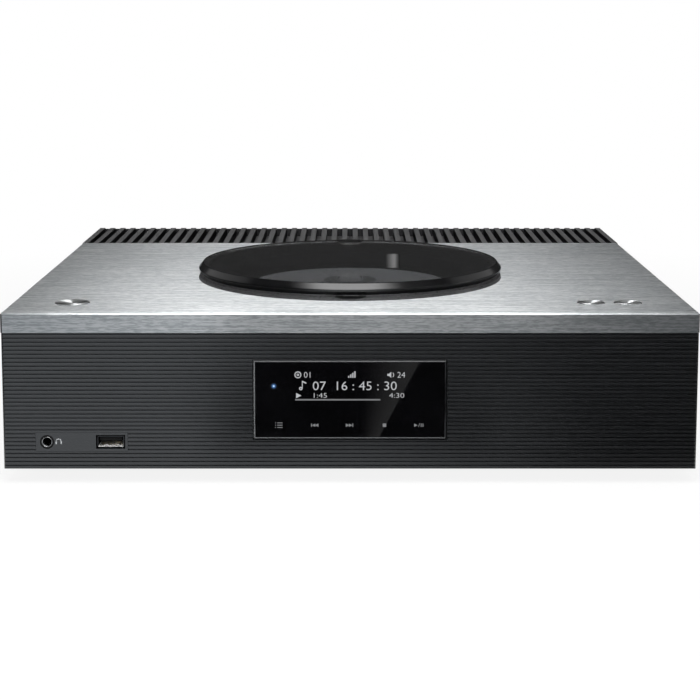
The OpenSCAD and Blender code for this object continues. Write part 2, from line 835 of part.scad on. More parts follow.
// Rear panel with a hole for each connector
module rear_panel() color("#1d1e20") difference() {
  block(-side_x, side_x, inner_y, rear_y, base_z, rear_top);
  at_terminals() bar_y(post_r + fit_gap, inner_y - skim, rear_y + skim);
  at_phonos() bar_y(phono_r - neck_step + fit_gap, inner_y - skim, rear_y + skim);
  translate([optical_x, 0, phono_z]) square_hole(optical_w, optical_w);
  translate([lan_x, 0, phono_z]) square_hole(lan_w, lan_h);
  translate([aerial_x - side_x, 0, phono_z])
    bar_y(aerial_r - neck_step + fit_gap, inner_y - skim, rear_y + skim);
  translate([side_x - inlet_x, 0, inlet_z]) square_hole(inlet_w(), inlet_tall());
  at_rear_screws() bar_y(screw_r + fit_gap, inner_y - skim, rear_y + skim);
}

module square_hole(w, h) {
  block(-w / 2 - fit_gap, w / 2 + fit_gap, inner_y - skim, rear_y + skim, -h / 2 - fit_gap, h / 2 + fit_gap);
}
function inlet_w() = inlet_pitch + 2 * inlet_r + 2 * inlet_wall;
function inlet_tall() = 2 * inlet_r + 2 * inlet_wall;

// Ribbed front panel: its section is drawn rib by rib
function rib_points() = [
  for (i = [0 : rib_count - 1])
    let (z0 = base_z + i * rib_pitch, z1 = z0 + rib_pitch)
      each [
        [face_y + groove_depth, z0 + groove_floor / 2], [face_y, z0 + groove_w / 2],
        [face_y, z1 - groove_w / 2], [face_y + groove_depth, z1 - groove_floor / 2]
      ]
];

module front_panel() color("#3d3e42") difference() {
  intersection() {
    across(-panel_x, panel_x)
      polygon(concat([[face_y + groove_depth, base_z]], rib_points(),
                     [[face_y + groove_depth, panel_top], [panel_back, panel_top], [panel_back, base_z]]));
    translate([0, 0, base_z]) linear_extrude(panel_h)
      cut_corners(panel_x, face_y, panel_back);
  }
  block(-win_w / 2, win_w / 2, front_y - skim, glass_back, win_z - win_h / 2, win_z + win_h / 2);
  block(-sill_w / 2, sill_w / 2, front_y, panel_back + skim, win_z - sill_h / 2, win_z + sill_h / 2);
  block(port_x, port_x + port_w, front_y - skim, port_back, port_z - port_h / 2, port_z + port_h / 2);
  block(port_x + port_ledge, port_x + port_w - port_ledge, front_y, panel_back + skim,
        port_z - port_h / 2 + port_ledge, port_z + port_h / 2 - port_ledge);
}

// Brushed top plate: a shallow pan with bevelled edges, a well opening, button holes and bosses
// for the key boards
module top_plate() color("#b6b9bc") {
  difference() {
    intersection() {
      across(-half_w, half_w)
        polygon([[front_y, plate_z], [plate_back, plate_z], [plate_back, top_z],
                 [front_y + plate_bevel, top_z], [front_y, top_z - plate_bevel]]);
      inward(front_y, plate_back)
        polygon([[-half_w, plate_z], [half_w, plate_z], [half_w, top_z - plate_bevel],
                 [half_w - plate_bevel, top_z], [-half_w + plate_bevel, top_z], [-half_w, top_z - plate_bevel]]);
      translate([0, 0, plate_z]) linear_extrude(plate_h)
        cut_corners(half_w, front_y, plate_back);
    }
    block(-half_w + plate_lip, half_w - plate_lip, front_y + plate_lip, plate_back - plate_lip,
          plate_z - skim, skin_z);
    at_well() bar_z(rim_r + fit_gap, skin_z - skim, top_z + skim);
    at_pivot() bar_z(boss_r + fit_gap, skin_z - skim, top_z + skim);
    at_button(power_x) bar_z(power_r + button_gap, skin_z - skim, top_z + skim);
    for (i = [0, 1])
      at_button(volume_x - i * volume_pitch) bar_z(volume_r + button_gap, skin_z - skim, top_z + skim);
  }
  for (s = [-1, 1]) {
    at_button(power_x + s * power_boss()) bar_z(key_boss_r, key_board_z, skin_z);
    at_button(volume_mid() + s * volume_boss()) bar_z(key_boss_r, key_board_z, skin_z);
  }
}

module at_button(x) {
  translate([x, button_y, 0]) children();
}
function power_boss() = power_r + collar_w + key_boss_r + key_boss_gap;
function volume_mid() = volume_x - volume_pitch / 2;
function volume_boss() = volume_pitch / 2 + volume_r + collar_w + key_boss_r + key_boss_gap;

// Heat sink: a slab across the rear with fins that run front to rear
module heat_sink() color("#141416") {
  block(-half_w, half_w, sink_front, inner_y, plate_z, plate_z + sink_slab);
  for (i = [0 : fin_count - 1])
    let (x = -half_w + i * (case_w - fin_t) / (fin_count - 1))
      across(x, x + fin_t)
        polygon([[sink_front, plate_z + sink_slab - skim], [inner_y, plate_z + sink_slab - skim],
                 [inner_y, top_z - fin_bevel], [inner_y - fin_bevel, top_z], [sink_front, top_z]]);
}

// Display: bevelled black glass, the lit module behind it, the touch strip and the status light
module display_window() color("#08090a")
  bevelled(-win_w / 2 + win_gap, win_w / 2 - win_gap, glass_y, glass_back,
           win_z - win_h / 2 + win_gap, win_z + win_h / 2 - win_gap, glass_bevel);

module display_module() color("#1d3a2c") {
  block(-screen_w / 2, screen_w / 2, glass_back, panel_back + skim, screen_z, screen_z + screen_h);
  block(-win_w / 2, win_w / 2, panel_back, panel_back + board_t, win_z - win_h / 2, win_z + win_h / 2);
}

module touch_strip() color("#8a5a2a")
  block(-sill_w / 2 + fit_gap, sill_w / 2 - fit_gap, glass_back, panel_back, touch_z, touch_z + touch_h);

module status_light() color("#bfe4ff")
  translate([-screen_w / 2 - light_in, 0, win_z + light_rise]) bar_y(light_r, glass_back, panel_back);

// Smooth strip with the headphone and bus sockets
module port_strip() color("#4b4c50") difference() {
  block(port_x + fit_gap, port_x + port_w - fit_gap, face_y, port_back,
        port_z - port_h / 2 + fit_gap, port_z + port_h / 2 - fit_gap);
  translate([phone_x, 0, port_z]) bar_y(phone_r + fit_gap, face_y - skim, port_back + skim);
  translate([usb_x, 0, port_z])
    block(-usb_w / 2 - usb_gap, usb_w / 2 + usb_gap, face_y - skim, port_back + skim,
          -usb_h / 2 - usb_gap, usb_h / 2 + usb_gap);
}

module headphone_socket() color("#101012") translate([phone_x, 0, port_z]) difference() {
  union() {
    bar_y(phone_r, face_y, port_back + skim);
    block(-phone_r - socket_side, phone_r + socket_side, port_back, panel_back, -phone_r, phone_r);
    block(-phone_r - socket_side, phone_r + socket_wall, panel_back, phone_end + socket_wall,
          -phone_r - socket_wall, phone_r + socket_wall);
  }
  bar_y(phone_ring + fit_gap / 4, face_y - skim, face_y + phone_ring_l);
  bar_y(phone_bore, face_y, phone_end);
}

module headphone_ring() color("#d9dadc") translate([phone_x, 0, port_z]) difference() {
  bar_y(phone_ring, face_y - fit_gap, face_y + phone_ring_l);
  bar_y(phone_bore, face_y - 2 * skim, face_y + phone_ring_l + skim);
}

module usb_shell() color("#c9cbce") translate([usb_x, 0, port_z]) difference() {
  block(-usb_w / 2, usb_w / 2, usb_y, usb_end, -usb_h / 2, usb_h / 2);
  block(-usb_w / 2 + usb_wall, usb_w / 2 - usb_wall, usb_y - skim, usb_end - usb_back,
        -usb_h / 2 + usb_wall, usb_h / 2 - usb_wall);
}

module usb_tongue() color("#0c0c0d") translate([usb_x, 0, port_z])
  block(-usb_w / 2 + tongue_in, usb_w / 2 - tongue_in, usb_y + tongue_in, usb_end - usb_back,
        usb_h / 2 - usb_wall - tongue_gap - tongue_t, usb_h / 2 - usb_wall - tongue_gap);

module port_board() color("#1d3a2c") {
  block(port_x, port_x + port_w, panel_back, phone_end + socket_wall + port_over,
        port_board_z - board_t, port_board_z);
  translate([usb_x, 0, 0])
    block(-usb_w / 2, usb_w / 2, panel_back + seat_set, usb_end, port_board_z - skim, port_z - usb_h / 2);
}

// Feet with rubber pads and the screws that hold them
module feet() color("#141415") at_feet() difference() {
  rotate_extrude()
    polygon([[0, pad_out], [foot_r - foot_bevel, pad_out], [foot_r, pad_out + foot_bevel],
             [foot_r, base_z], [0, base_z]]);
  bar_z(pad_r + fit_gap, 0, pad_h);
  bar_z(head_r + fit_gap, 0, pad_h + head_h);
  bar_z(foot_screw + fit_gap, 0, base_z + skim);
}

module foot_pads() color("#2a2a2b") at_feet() rotate_extrude()
  polygon([[0, 0], [pad_r - pad_bevel, 0], [pad_r, pad_bevel], [pad_r, pad_h], [0, pad_h]]);

module foot_screws() color("#8d8f92") at_feet() {
  bar_z(head_r, pad_h, pad_h + head_h);
  bar_z(foot_screw, pad_h, tray_z + foot_screw_tip);
}

// A dished button: cap, retaining collar and stem
module button(x, r) {
  top = top_z + button_rise;
  dish_r = r - dish_rim;
  ball = (dish_r * dish_r + dish * dish) / (2 * dish);
  at_button(x) difference() {
    rotate_extrude()
      polygon([[0, stem_z], [stem_r, stem_z], [stem_r, collar_z - collar_t],
               [r + collar_w, collar_z - collar_t], [r + collar_w, collar_z], [r, collar_z],
               [r, top - button_bevel], [r - button_bevel, top], [0, top]]);
    translate([0, 0, top - dish + ball]) sphere(r = ball);
  }
}
module power_button() color("#c8cacc") button(power_x, power_r);
module volume_down_button() color("#c8cacc") button(volume_x - volume_pitch, volume_r);
module volume_up_button() color("#c8cacc") button(volume_x, volume_r);

// Boards under the buttons, each hung on two bosses, with a key switch under each stem
module key_board(middle, reach, keys) {
  at_button(middle)
    block(-reach - key_boss_r, reach + key_boss_r, -key_w, key_w, key_board_z - board_t, key_board_z);
  for (x = keys) at_button(x) {
    block(-key_w / 2, key_w / 2, -key_w / 2, key_w / 2, key_board_z - skim, key_top - key_cap_h);
    bar_z(key_cap_r, key_top - key_cap_h - skim, key_top);
  }
}
module power_key_board() color("#1d3a2c") key_board(power_x, power_boss(), [power_x]);
module volume_key_board() color("#1d3a2c")
  key_board(volume_mid(), volume_boss(), [volume_x, volume_x - volume_pitch]);

// Ring round the well, notched for the pivot's boss
module well_ring() color("#2a2b2d") difference() {
  at_well() rotate_extrude()
    polygon([[ring_in, top_z], [ring_r, top_z], [ring_r - ring_slope, top_z + ring_edge],
             [ring_in, top_z + ring_h]]);
  at_pivot() bar_z(boss_r + fit_gap, top_z - skim, lid_low);
}

// Moulded well: floor with a slot for the pickup, wall, sloping rim, flange under the plate,
// pivot boss and pegs
module disc_well() color("#3a3b3d") difference() {
  union() {
    at_well() {
      rotate_extrude()
        polygon([[table_r + hub_gap, floor_z], [well_r - rest_w, floor_z], [well_r, floor_z + rest_h],
                 [well_r, top_z - rim_drop],
                 [rim_r, top_z + rim_rise], [rim_r, skin_z], [rim_r + rim_flange, skin_z],
                 [rim_r + rim_flange, flange_z], [well_r + well_t, flange_z], [well_r + well_t, under_z],
                 [table_r + hub_gap, under_z]]);
      corners(mount_w, mount_d) {
        bar_z(mount_r, mech_z + mount_h, under_z);
        bar_z(peg_r, mech_z - mech_t, under_z);
      }
    }
    at_pivot() bar_z(boss_r, boss_low, boss_top);
  }
  at_pivot() bar_z(pin_r + fit_gap / 4, boss_low - skim, boss_top + skim);
  at_well()
    block(-well_slot / 2, well_slot / 2,
          -lens_in - lens_travel - lens_w / 2 - slot_gap, -lens_in + lens_w / 2 + slot_gap,
          under_z - skim, floor_z + skim);
}

// Pivot: headed pin in the boss, washer, and in the lid a bush and a cap
module pivot_pin() color("#a9acb0") at_pivot() {
  bar_z(pin_r, boss_low - pin_head, lid_top - cap_t - 2 * fit_gap);
  bar_z(boss_r, boss_low - pin_head, boss_low);
}

module thrust_washer() color("#d8d2c0") at_pivot() difference() {
  bar_z(boss_r, boss_top, boss_top + washer_t);
  bar_z(pin_r + run_gap, boss_top - skim, boss_top + washer_t + skim);
}

function rim_profile(r) = [
  [0, lid_low], [r - lid_under, lid_low], [r, lid_top - lid_bevel_h - lid_band], [r, lid_top - lid_bevel_h],
  [r - lid_bevel_w, lid_top], [0, lid_top]
];

module lid() color("#3b3c40", 0.5) difference() {
  union() {
    at_well() rotate_extrude() polygon(rim_profile(lid_r));
    at_pivot() rotate_extrude() polygon(rim_profile(ear_r));
  }
  at_pivot() {
    bar_z(bush_r, lid_low - skim, lid_top);
    bar_z(cap_r + fit_gap / 2, lid_top - cap_t, lid_top + skim);
  }
}

module lid_bush() color("#b99b5a") at_pivot() difference() {
  bar_z(bush_r - fit_gap / 4, lid_low, lid_top - cap_t);
  bar_z(pin_r + run_gap, lid_low - skim, lid_top);
}

module pivot_cap() color("#5a5c60") at_pivot() rotate_extrude()
  polygon([[0, lid_top - cap_t], [cap_r, lid_top - cap_t], [cap_r, lid_top - cap_bevel],
           [cap_r - cap_bevel, lid_top], [0, lid_top]]);

// Turntable with a centring hub, its mat and the balls that grip the disc
module turntable() color("#2e2f31") at_well() difference() {
  rotate_extrude()
    polygon([[0, table_z], [table_r, table_z], [table_r, seat_z - mat_t], [hub_r, seat_z - mat_t],
             [hub_r, seat_z + hub_h - hub_bevel], [hub_r - hub_bevel, seat_z + hub_h], [0, seat_z + hub_h]]);
  bar_z(shaft_r + fit_gap / 4, table_z - skim, seat_z);
  at_balls() rotate([0, 90, 0]) translate([0, 0, -ball_r]) cylinder(r = ball_r + fit_gap / 2, h = 3 * ball_r);
}

module at_balls() {
  for (i = [0 : 2])
    rotate(120 * i + 90) translate([hub_r - ball_r * 0.8, 0, seat_z + ball_r + ball_lift]) children();
}

module chuck_balls() color("#d9dadc") at_well() at_balls() sphere(r = ball_r);

module turntable_mat() color("#18181a") at_well() difference() {
  bar_z(table_r - mat_in, seat_z - mat_t, seat_z);
  bar_z(hub_r + fit_gap, seat_z - mat_t - skim, seat_z + skim);
}

module spindle_shaft() color("#b9bcc0") at_well() bar_z(shaft_r, mech_z + motor_floor, seat_z);

module spindle_motor() color("#9a9da1") at_well() difference() {
  union() {
    bar_z(spin_r, mech_z, motor_z - nose_h);
    bar_z(shaft_r + nose_t, mech_z, motor_z);
  }
  bar_z(shaft_r + run_gap, mech_z + motor_floor - run_gap, motor_z + skim);
}

// Drive frame on four rubber mounts, with blocks for the rods and the screw and a cradle for the feed motor
module drive_frame() color("#55585c") at_well() difference() {
  union() {
    block(-mech_w, mech_w, -mech_d, mech_d, mech_z - mech_t, mech_z);
    block(-rod_x - tongue_side, screw_x + tongue_side, -mech_d - mech_tongue, -mech_d + skim,
          mech_z - mech_t, mech_z);
    for (x = [-rod_x, rod_x], y = [rod_front - block_t, rod_back])
      block(x - block_rise, x + block_rise, y, y + block_t, mech_z - skim, rod_z + block_rise);
    block(screw_x - block_rise, screw_x + block_rise, rod_front - block_t, rod_front,
          mech_z - skim, rod_z + block_rise);
    block(screw_x - feed_r - cradle_t, screw_x + feed_r + cradle_t,
          feed_set + cradle_in, feed_set + feed_l - cradle_in, mech_z - skim, rod_z - cradle_t);
  }
  corners(mount_w, mount_d) bar_z(peg_r + peg_gap, mech_z - mech_t - skim, mech_z + skim);
  for (x = [-rod_x, rod_x])
    translate([x, 0, rod_z]) bar_y(rod_r + fit_gap / 4, rod_front - block_t - skim, rod_back + block_t + skim);
  translate([screw_x, 0, rod_z]) {
    bar_y(rod_r + run_gap, rod_front - block_t - skim, rod_front + skim);
    bar_y(feed_r + fit_gap / 2, feed_set, feed_set + feed_l);
  }
}

module rubber_mounts() color("#3a2f2a") at_well() corners(mount_w, mount_d) difference() {
  bar_z(mount_r, mech_z, mech_z + mount_h);
  bar_z(peg_r + fit_gap / 2, mech_z - skim, mech_z + mount_h + skim);
}

module guide_rods() color("#c4c7ca") at_well()
  for (x = [-rod_x, rod_x]) translate([x, 0, rod_z]) bar_y(rod_r, rod_front - block_t, rod_back + block_t);

// Pickup sled on the two rods, with a nut arm on the feed screw and the lens holder in the slot
module pickup_sled() color("#77797d") at_well() difference() {
  union() {
    block(-sled_w / 2, sled_w / 2, sled_front, sled_front + sled_l, sled_z, sled_top);
    block(sled_w / 2 - skim, screw_x + rod_r + nut_wall, -lens_in - nut_w / 2, -lens_in + nut_w / 2,
          sled_z, rod_z + rod_r + nut_wall);
    block(-lens_w / 2, lens_w / 2, -lens_in - lens_w / 2, -lens_in + lens_w / 2,
          sled_top - skim, lens_z);
  }
  for (x = [-rod_x, rod_x])
    translate([x, 0, rod_z]) bar_y(rod_r + run_gap, sled_front - skim, sled_front + sled_l + skim);
  translate([screw_x, 0, rod_z]) bar_y(rod_r + run_gap, -lens_in - nut_w, -lens_in + nut_w);
}

module pickup_lens() color("#9fb6e0") at_well() translate([0, -lens_in, 0]) rotate_extrude()
  polygon([[0, lens_z], [lens_r, lens_z], [lens_r, lens_z + lens_t - lens_dome],
           [lens_flat, lens_z + lens_t], [0, lens_z + lens_t]]);

module feed_screw() color("#c4c7ca") at_well() translate([screw_x, 0, rod_z])
  bar_y(rod_r, rod_front - block_t + screw_end, feed_set + screw_seat);

module feed_motor() color("#9a9da1") at_well() translate([screw_x, 0, rod_z]) difference() {
  bar_y(feed_r, feed_set, feed_set + feed_l);
  bar_y(rod_r + run_gap, feed_set - skim, feed_set + screw_seat + run_gap);
}

// Speaker terminals: posts with plug bores on a shared base, and a fluted knob on each
module at_terminals() {
  for (i = [0 : 3]) at_terminal(i) children();
}
module at_terminal(i) {
  translate([terminal_x + (i % 2 - 0.5) * terminal_pitch, 0,
             terminal_z + (floor(i / 2) - 0.5) * terminal_pitch])
    children();
}

module speaker_terminals() color("#c2a45e") difference() {
  union() {
    at_terminals() bar_y(post_r, inner_y - tail_l, post_end);
    at_terminals() bar_y(knob_r, rear_y, rear_y + base_t);
  }
  at_terminals() bar_y(banana_r, post_end - banana_l, post_end + skim);
}

module speaker_knob(i) {
  at_terminal(i) difference() {
    bar_y(knob_r, knob_y, knob_end);
    bar_y(post_r + run_gap, knob_y - skim, knob_end + skim);
    for (a = [0 : flute_count - 1])
      rotate([0, a * 360 / flute_count, 0]) translate([knob_r + flute_r / 2, 0, 0])
        bar_y(flute_r, knob_y + flute_set, knob_end + skim);
  }
}
module speaker_knob_1() color("#1a1a1b") speaker_knob(0);
module speaker_knob_2() color("#a3191c") speaker_knob(1);
module speaker_knob_3() color("#1a1a1b") speaker_knob(2);
module speaker_knob_4() color("#a3191c") speaker_knob(3);

// Phono sockets: plated shells with an insulating insert
module at_phonos() {
  for (i = [0 : phono_columns - 1], j = [-1, 1])
    translate([(i - 1) * phono_pitch, 0, phono_z + j * phono_pitch / 2]) children();
}

module phono_shells() color("#c9b06a") at_phonos() difference() {
  union() {
    bar_y(phono_r - neck_step, inner_y - tail_l, rear_y + skim);
    bar_y(phono_r + phono_flange, rear_y, rear_y + phono_flange);
    bar_y(phono_r, rear_y, rear_y + phono_l);
  }
  bar_y(phono_r - barrel_t, rear_y + phono_flange, rear_y + phono_l + skim);
}

module phono_inserts() color("#e8e6e0") at_phonos() difference() {
  bar_y(phono_r - barrel_t - fit_gap / 4, rear_y + phono_flange, rear_y + phono_l - insert_drop);
  bar_y(phono_bore, rear_y + phono_flange + insert_floor, rear_y + phono_l);
}

// Optical socket with its dust cap in place
module optical_socket() color("#161617") translate([optical_x, 0, phono_z]) {
  out = rear_y + optical_rim;
  wide = optical_w / 2 + optical_flange;
  block(-optical_w / 2, optical_w / 2, inner_y - optical_l, out, -optical_w / 2, optical_w / 2);
  block(-wide, wide, inner_y - optical_l, inner_y, -wide, wide);
  block(-plug_w / 2, plug_w / 2, out - skim, out + plug_t, -plug_w / 2, plug_w / 2);
  block(-grip_t / 2, grip_t / 2, out, out + grip_l, -plug_w / 2, plug_w / 2);
}

module lan_socket() color("#bfc1c4") translate([lan_x, 0, phono_z]) difference() {
  union() {
    block(-lan_w / 2, lan_w / 2, lan_back, rear_y + lan_rim, -lan_h / 2, lan_h / 2);
    block(-lan_w / 2 - lan_flange, lan_w / 2 + lan_flange, lan_back, inner_y,
          -lan_h / 2 - lan_flange, lan_h / 2 + lan_flange);
  }
  block(-lan_w / 2 + lan_wall, lan_w / 2 - lan_wall, lan_back + lan_wall, rear_y + lan_rim + skim,
        -lan_h / 2 + lan_sill, lan_h / 2 - lan_wall);
  block(-latch_w / 2, latch_w / 2, lan_back + latch_set, rear_y + lan_rim + skim,
        -lan_h / 2 + latch_sill, lan_h / 2 - lan_wall);
}

// Aerial socket: a barrel with a centre contact
module aerial_socket() color("#bfc1c4") translate([aerial_x - side_x, 0, phono_z]) difference() {
  union() {
    bar_y(aerial_r - neck_step, inner_y - tail_l, rear_y + skim);
    bar_y(aerial_r + aerial_flange, rear_y, rear_y + aerial_flange);
    bar_y(aerial_r, rear_y, rear_y + phono_l);
  }
  difference() {
    bar_y(aerial_r - barrel_t, rear_y + aerial_flange, rear_y + phono_l + skim);
    bar_y(contact_r, rear_y, rear_y + phono_l - contact_drop);
  }
}

// Mains inlet with two lobes and a pin in each
module mains_inlet() color("#111112") translate([side_x - inlet_x, 0, inlet_z]) difference() {
  union() {
    block(-inlet_w() / 2, inlet_w() / 2, inner_y - inlet_l - inlet_floor, rear_y + inlet_rim,
          -inlet_tall() / 2, inlet_tall() / 2);
    block(-inlet_w() / 2 - inlet_flange, inlet_w() / 2 + inlet_flange, rear_y, rear_y + inlet_rim,
          -inlet_tall() / 2 - inlet_flange, inlet_tall() / 2 + inlet_flange);
  }
  for (s = [-1, 1])
    translate([s * inlet_pitch / 2, 0, 0]) bar_y(inlet_r, rear_y - inlet_l, rear_y + inlet_rim + skim);
  block(-inlet_pitch / 2, inlet_pitch / 2, rear_y - inlet_l, rear_y + inlet_rim + skim,
        -inlet_waist, inlet_waist);
}

module inlet_pins() color("#c9cbce") translate([side_x - inlet_x, 0, inlet_z])
  for (s = [-1, 1])
    translate([s * inlet_pitch / 2, 0, 0]) bar_y(inlet_pin_r, rear_y - inlet_l, rear_y - inlet_pin_drop);

// Boards: main board, power supply, and the amplifier board hung under the heat sink
module board(b) {
  difference() {
    block(b[0], b[0] + b[1], board_y0, board_y1, board_z, board_top);
    at_spacers() bar_z(screw_r + fit_gap, board_z - skim, board_top + skim);
  }
}

module main_board() color("#1d3a2c") {
  board(boards[0]);
  translate([boards[0][0] + main_w / 2, (board_y0 + board_y1) / 2, board_top]) {
    for (i = [-1, 0, 1])
      translate([i * main_w * 0.26 - processor_w / 2, -processor_w / 2, -skim])
        cube([processor_w, processor_w, processor_h + skim]);
    for (i = [-2 : 2])
      translate([i * small_can_pitch, board_d * 0.34, -skim])
        cylinder(r = small_can_r, h = small_can_h + skim);
  }
}

module power_supply() color("#b08a3a") {
  board(boards[1]);
  translate([boards[1][0] + supply_w / 2, (board_y0 + board_y1) / 2, board_top - skim]) {
    translate([-core_w / 2, -core_w / 2, 0]) cube([core_w, core_w, core_h + skim]);
    for (i = [-1, 1])
      translate([i * (can_r + can_side), -core_w / 2 - can_r - can_set, 0])
        cylinder(r = can_r, h = can_h + skim);
  }
}

module amplifier_board() color("#1d3a2c") translate([0, amp_y, 0]) {
  block(-amp_w / 2, amp_w / 2, -amp_d / 2, amp_d / 2, amp_z - board_t, amp_z);
  for (i = [-1.5 : 1.5]) translate([i * amp_w / 4.6, 0, 0]) {
    block(-chip_w / 2, chip_w / 2, -chip_d / 2, chip_d / 2, amp_z - skim, plate_z);
    block(-coil_w / 2, coil_w / 2, -coil_w / 2, coil_w / 2, amp_z - board_t - coil_h, amp_z - board_t + skim);
  }
}

// Screws of the rear panel and of the boards
module at_rear_screws() {
  for (x = [-1, 1], z = [base_z + tray_lip + flange_gap + screw_in, plate_z - sheet_t - screw_in])
    translate([x * (side_x - screw_in), 0, z]) children();
}

module case_screws() color("#2f3033") {
  at_rear_screws() {
    bar_y(head_r, rear_y, rear_y + head_h);
    bar_y(screw_r, inner_y - rear_screw_l, rear_y + skim);
  }
  at_spacers() {
    bar_z(head_r, board_top, board_top + head_h);
    bar_z(screw_r - fit_gap / 4, board_top - board_screw_l, board_top + skim);
  }
}

base_tray();
left_side_panel();
right_side_panel();
rear_panel();
front_panel();
top_plate();
heat_sink();
display_window();
display_module();
touch_strip();
status_light();
port_strip();
headphone_socket();
headphone_ring();
usb_shell();
usb_tongue();
port_board();
feet();
foot_pads();
foot_screws();
power_button();
volume_down_button();
volume_up_button();
power_key_board();
volume_key_board();
well_ring();
disc_well();
pivot_pin();
thrust_washer();
lid();
lid_bush();
pivot_cap();
turntable();
turntable_mat();
chuck_balls();
spindle_shaft();
spindle_motor();
drive_frame();
rubber_mounts();
guide_rods();
pickup_sled();
pickup_lens();
feed_screw();
feed_motor();
speaker_terminals();
speaker_knob_1();
speaker_knob_2();
speaker_knob_3();
speaker_knob_4();
phono_shells();
phono_inserts();
optical_socket();
lan_socket();
aerial_socket();
mains_inlet();
inlet_pins();
main_board();
power_supply();
amplifier_board();
case_screws();
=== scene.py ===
import json
import math

import bmesh
import bpy
from mathutils import Euler, Matrix, Vector

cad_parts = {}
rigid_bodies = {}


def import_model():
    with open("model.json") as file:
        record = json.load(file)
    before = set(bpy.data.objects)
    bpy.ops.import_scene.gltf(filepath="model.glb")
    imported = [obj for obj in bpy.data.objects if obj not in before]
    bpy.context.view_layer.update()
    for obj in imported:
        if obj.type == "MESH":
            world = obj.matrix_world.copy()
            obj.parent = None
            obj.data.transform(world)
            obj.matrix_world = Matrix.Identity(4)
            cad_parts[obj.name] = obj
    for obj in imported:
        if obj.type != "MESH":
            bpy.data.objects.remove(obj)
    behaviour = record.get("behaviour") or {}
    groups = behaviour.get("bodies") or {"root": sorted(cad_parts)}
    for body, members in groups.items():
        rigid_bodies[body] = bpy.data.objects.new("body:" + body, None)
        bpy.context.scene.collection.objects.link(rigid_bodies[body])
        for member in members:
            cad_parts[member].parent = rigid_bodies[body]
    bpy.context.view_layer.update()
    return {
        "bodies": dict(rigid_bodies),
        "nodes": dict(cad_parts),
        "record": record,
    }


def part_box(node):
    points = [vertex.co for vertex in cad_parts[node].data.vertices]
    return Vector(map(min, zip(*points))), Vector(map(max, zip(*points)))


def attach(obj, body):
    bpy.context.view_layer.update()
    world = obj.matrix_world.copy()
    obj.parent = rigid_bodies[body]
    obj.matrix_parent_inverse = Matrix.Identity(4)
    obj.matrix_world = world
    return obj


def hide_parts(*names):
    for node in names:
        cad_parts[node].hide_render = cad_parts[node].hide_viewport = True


# Looks of a slim disc receiver: brushed top plate, ribbed fascia, finned sink, smoked lid over the disc well.
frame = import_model()
nodes = frame["nodes"]
scene = bpy.context.scene
mm = 0.001


# Shader helpers: a socket takes a value, or a link where the value is another node's output

def feed(tree, node, sockets):
    for key, value in sockets.items():
        if isinstance(value, bpy.types.NodeSocket):
            tree.links.new(value, node.inputs[key])
        else:
            node.inputs[key].default_value = value


def put(tree, kind, sockets=None, **settings):
    node = tree.nodes.new(kind)
    for key, value in settings.items():
        setattr(node, key, value)
    feed(tree, node, sockets or {})
    return node


def placed(tree, scale=(1, 1, 1), shift=(0, 0, 0)):
    where = put(tree, "ShaderNodeTexCoord").outputs["Object"]
    return put(tree, "ShaderNodeMapping", {
        "Vector": where, "Scale": scale, "Location": shift}).outputs["Vector"]


def grain(tree, scale, detail=4.0, rough=0.55):
    return put(tree, "ShaderNodeTexNoise", {
        "Vector": placed(tree, scale), "Scale": 1.0, "Detail": detail, "Roughness": rough}).outputs[0]


def between(tree, factor, low, high, start=0.3, end=0.7):
    return put(tree, "ShaderNodeMapRange", {
        "Value": factor, "From Min": start, "From Max": end, "To Min": low, "To Max": high}).outputs[0]


def toned(tree, factor, dark, light):
    return put(
        tree, "ShaderNodeMix", {0: factor, 6: (*dark, 1), 7: (*light, 1)}, data_type="RGBA").outputs[2]


def joined(tree, kind, first, second):
    return put(tree, "ShaderNodeMath", {0: first, 1: second}, operation=kind).outputs[0]


def vectored(tree, kind, *values):
    return put(tree, "ShaderNodeVectorMath", dict(enumerate(values)), operation=kind).outputs


def embossed(tree, height, depth):
    return put(tree, "ShaderNodeBump", {
        "Strength": 1.0, "Distance": depth, "Height": height}).outputs["Normal"]


def startFinish(name):
    finish = bpy.data.materials.new(name)
    finish.use_nodes = True
    return finish, finish.node_tree, finish.node_tree.nodes["Principled BSDF"]


def dressed(tree, shader, factor, coat, look, sockets):
    feed(tree, shader, {**sockets, "Base Color": coat, "Roughness": between(tree, factor, *look["rough"])})
    if "bump" in look:
        feed(tree, shader, {"Normal": embossed(tree, factor, look["bump"])})


# Plain looks: tone, spread of tone, roughness from and to, grain per metre, bump depth in metres
def plain(tone, spread, rough, grit, bump, metal=0.0, gloss=0.5):
    return {"tone": tone, "spread": spread, "rough": rough, "bump": bump, "metal": metal, "gloss": gloss,
            "grit": grit if isinstance(grit, tuple) else (grit,) * 3}


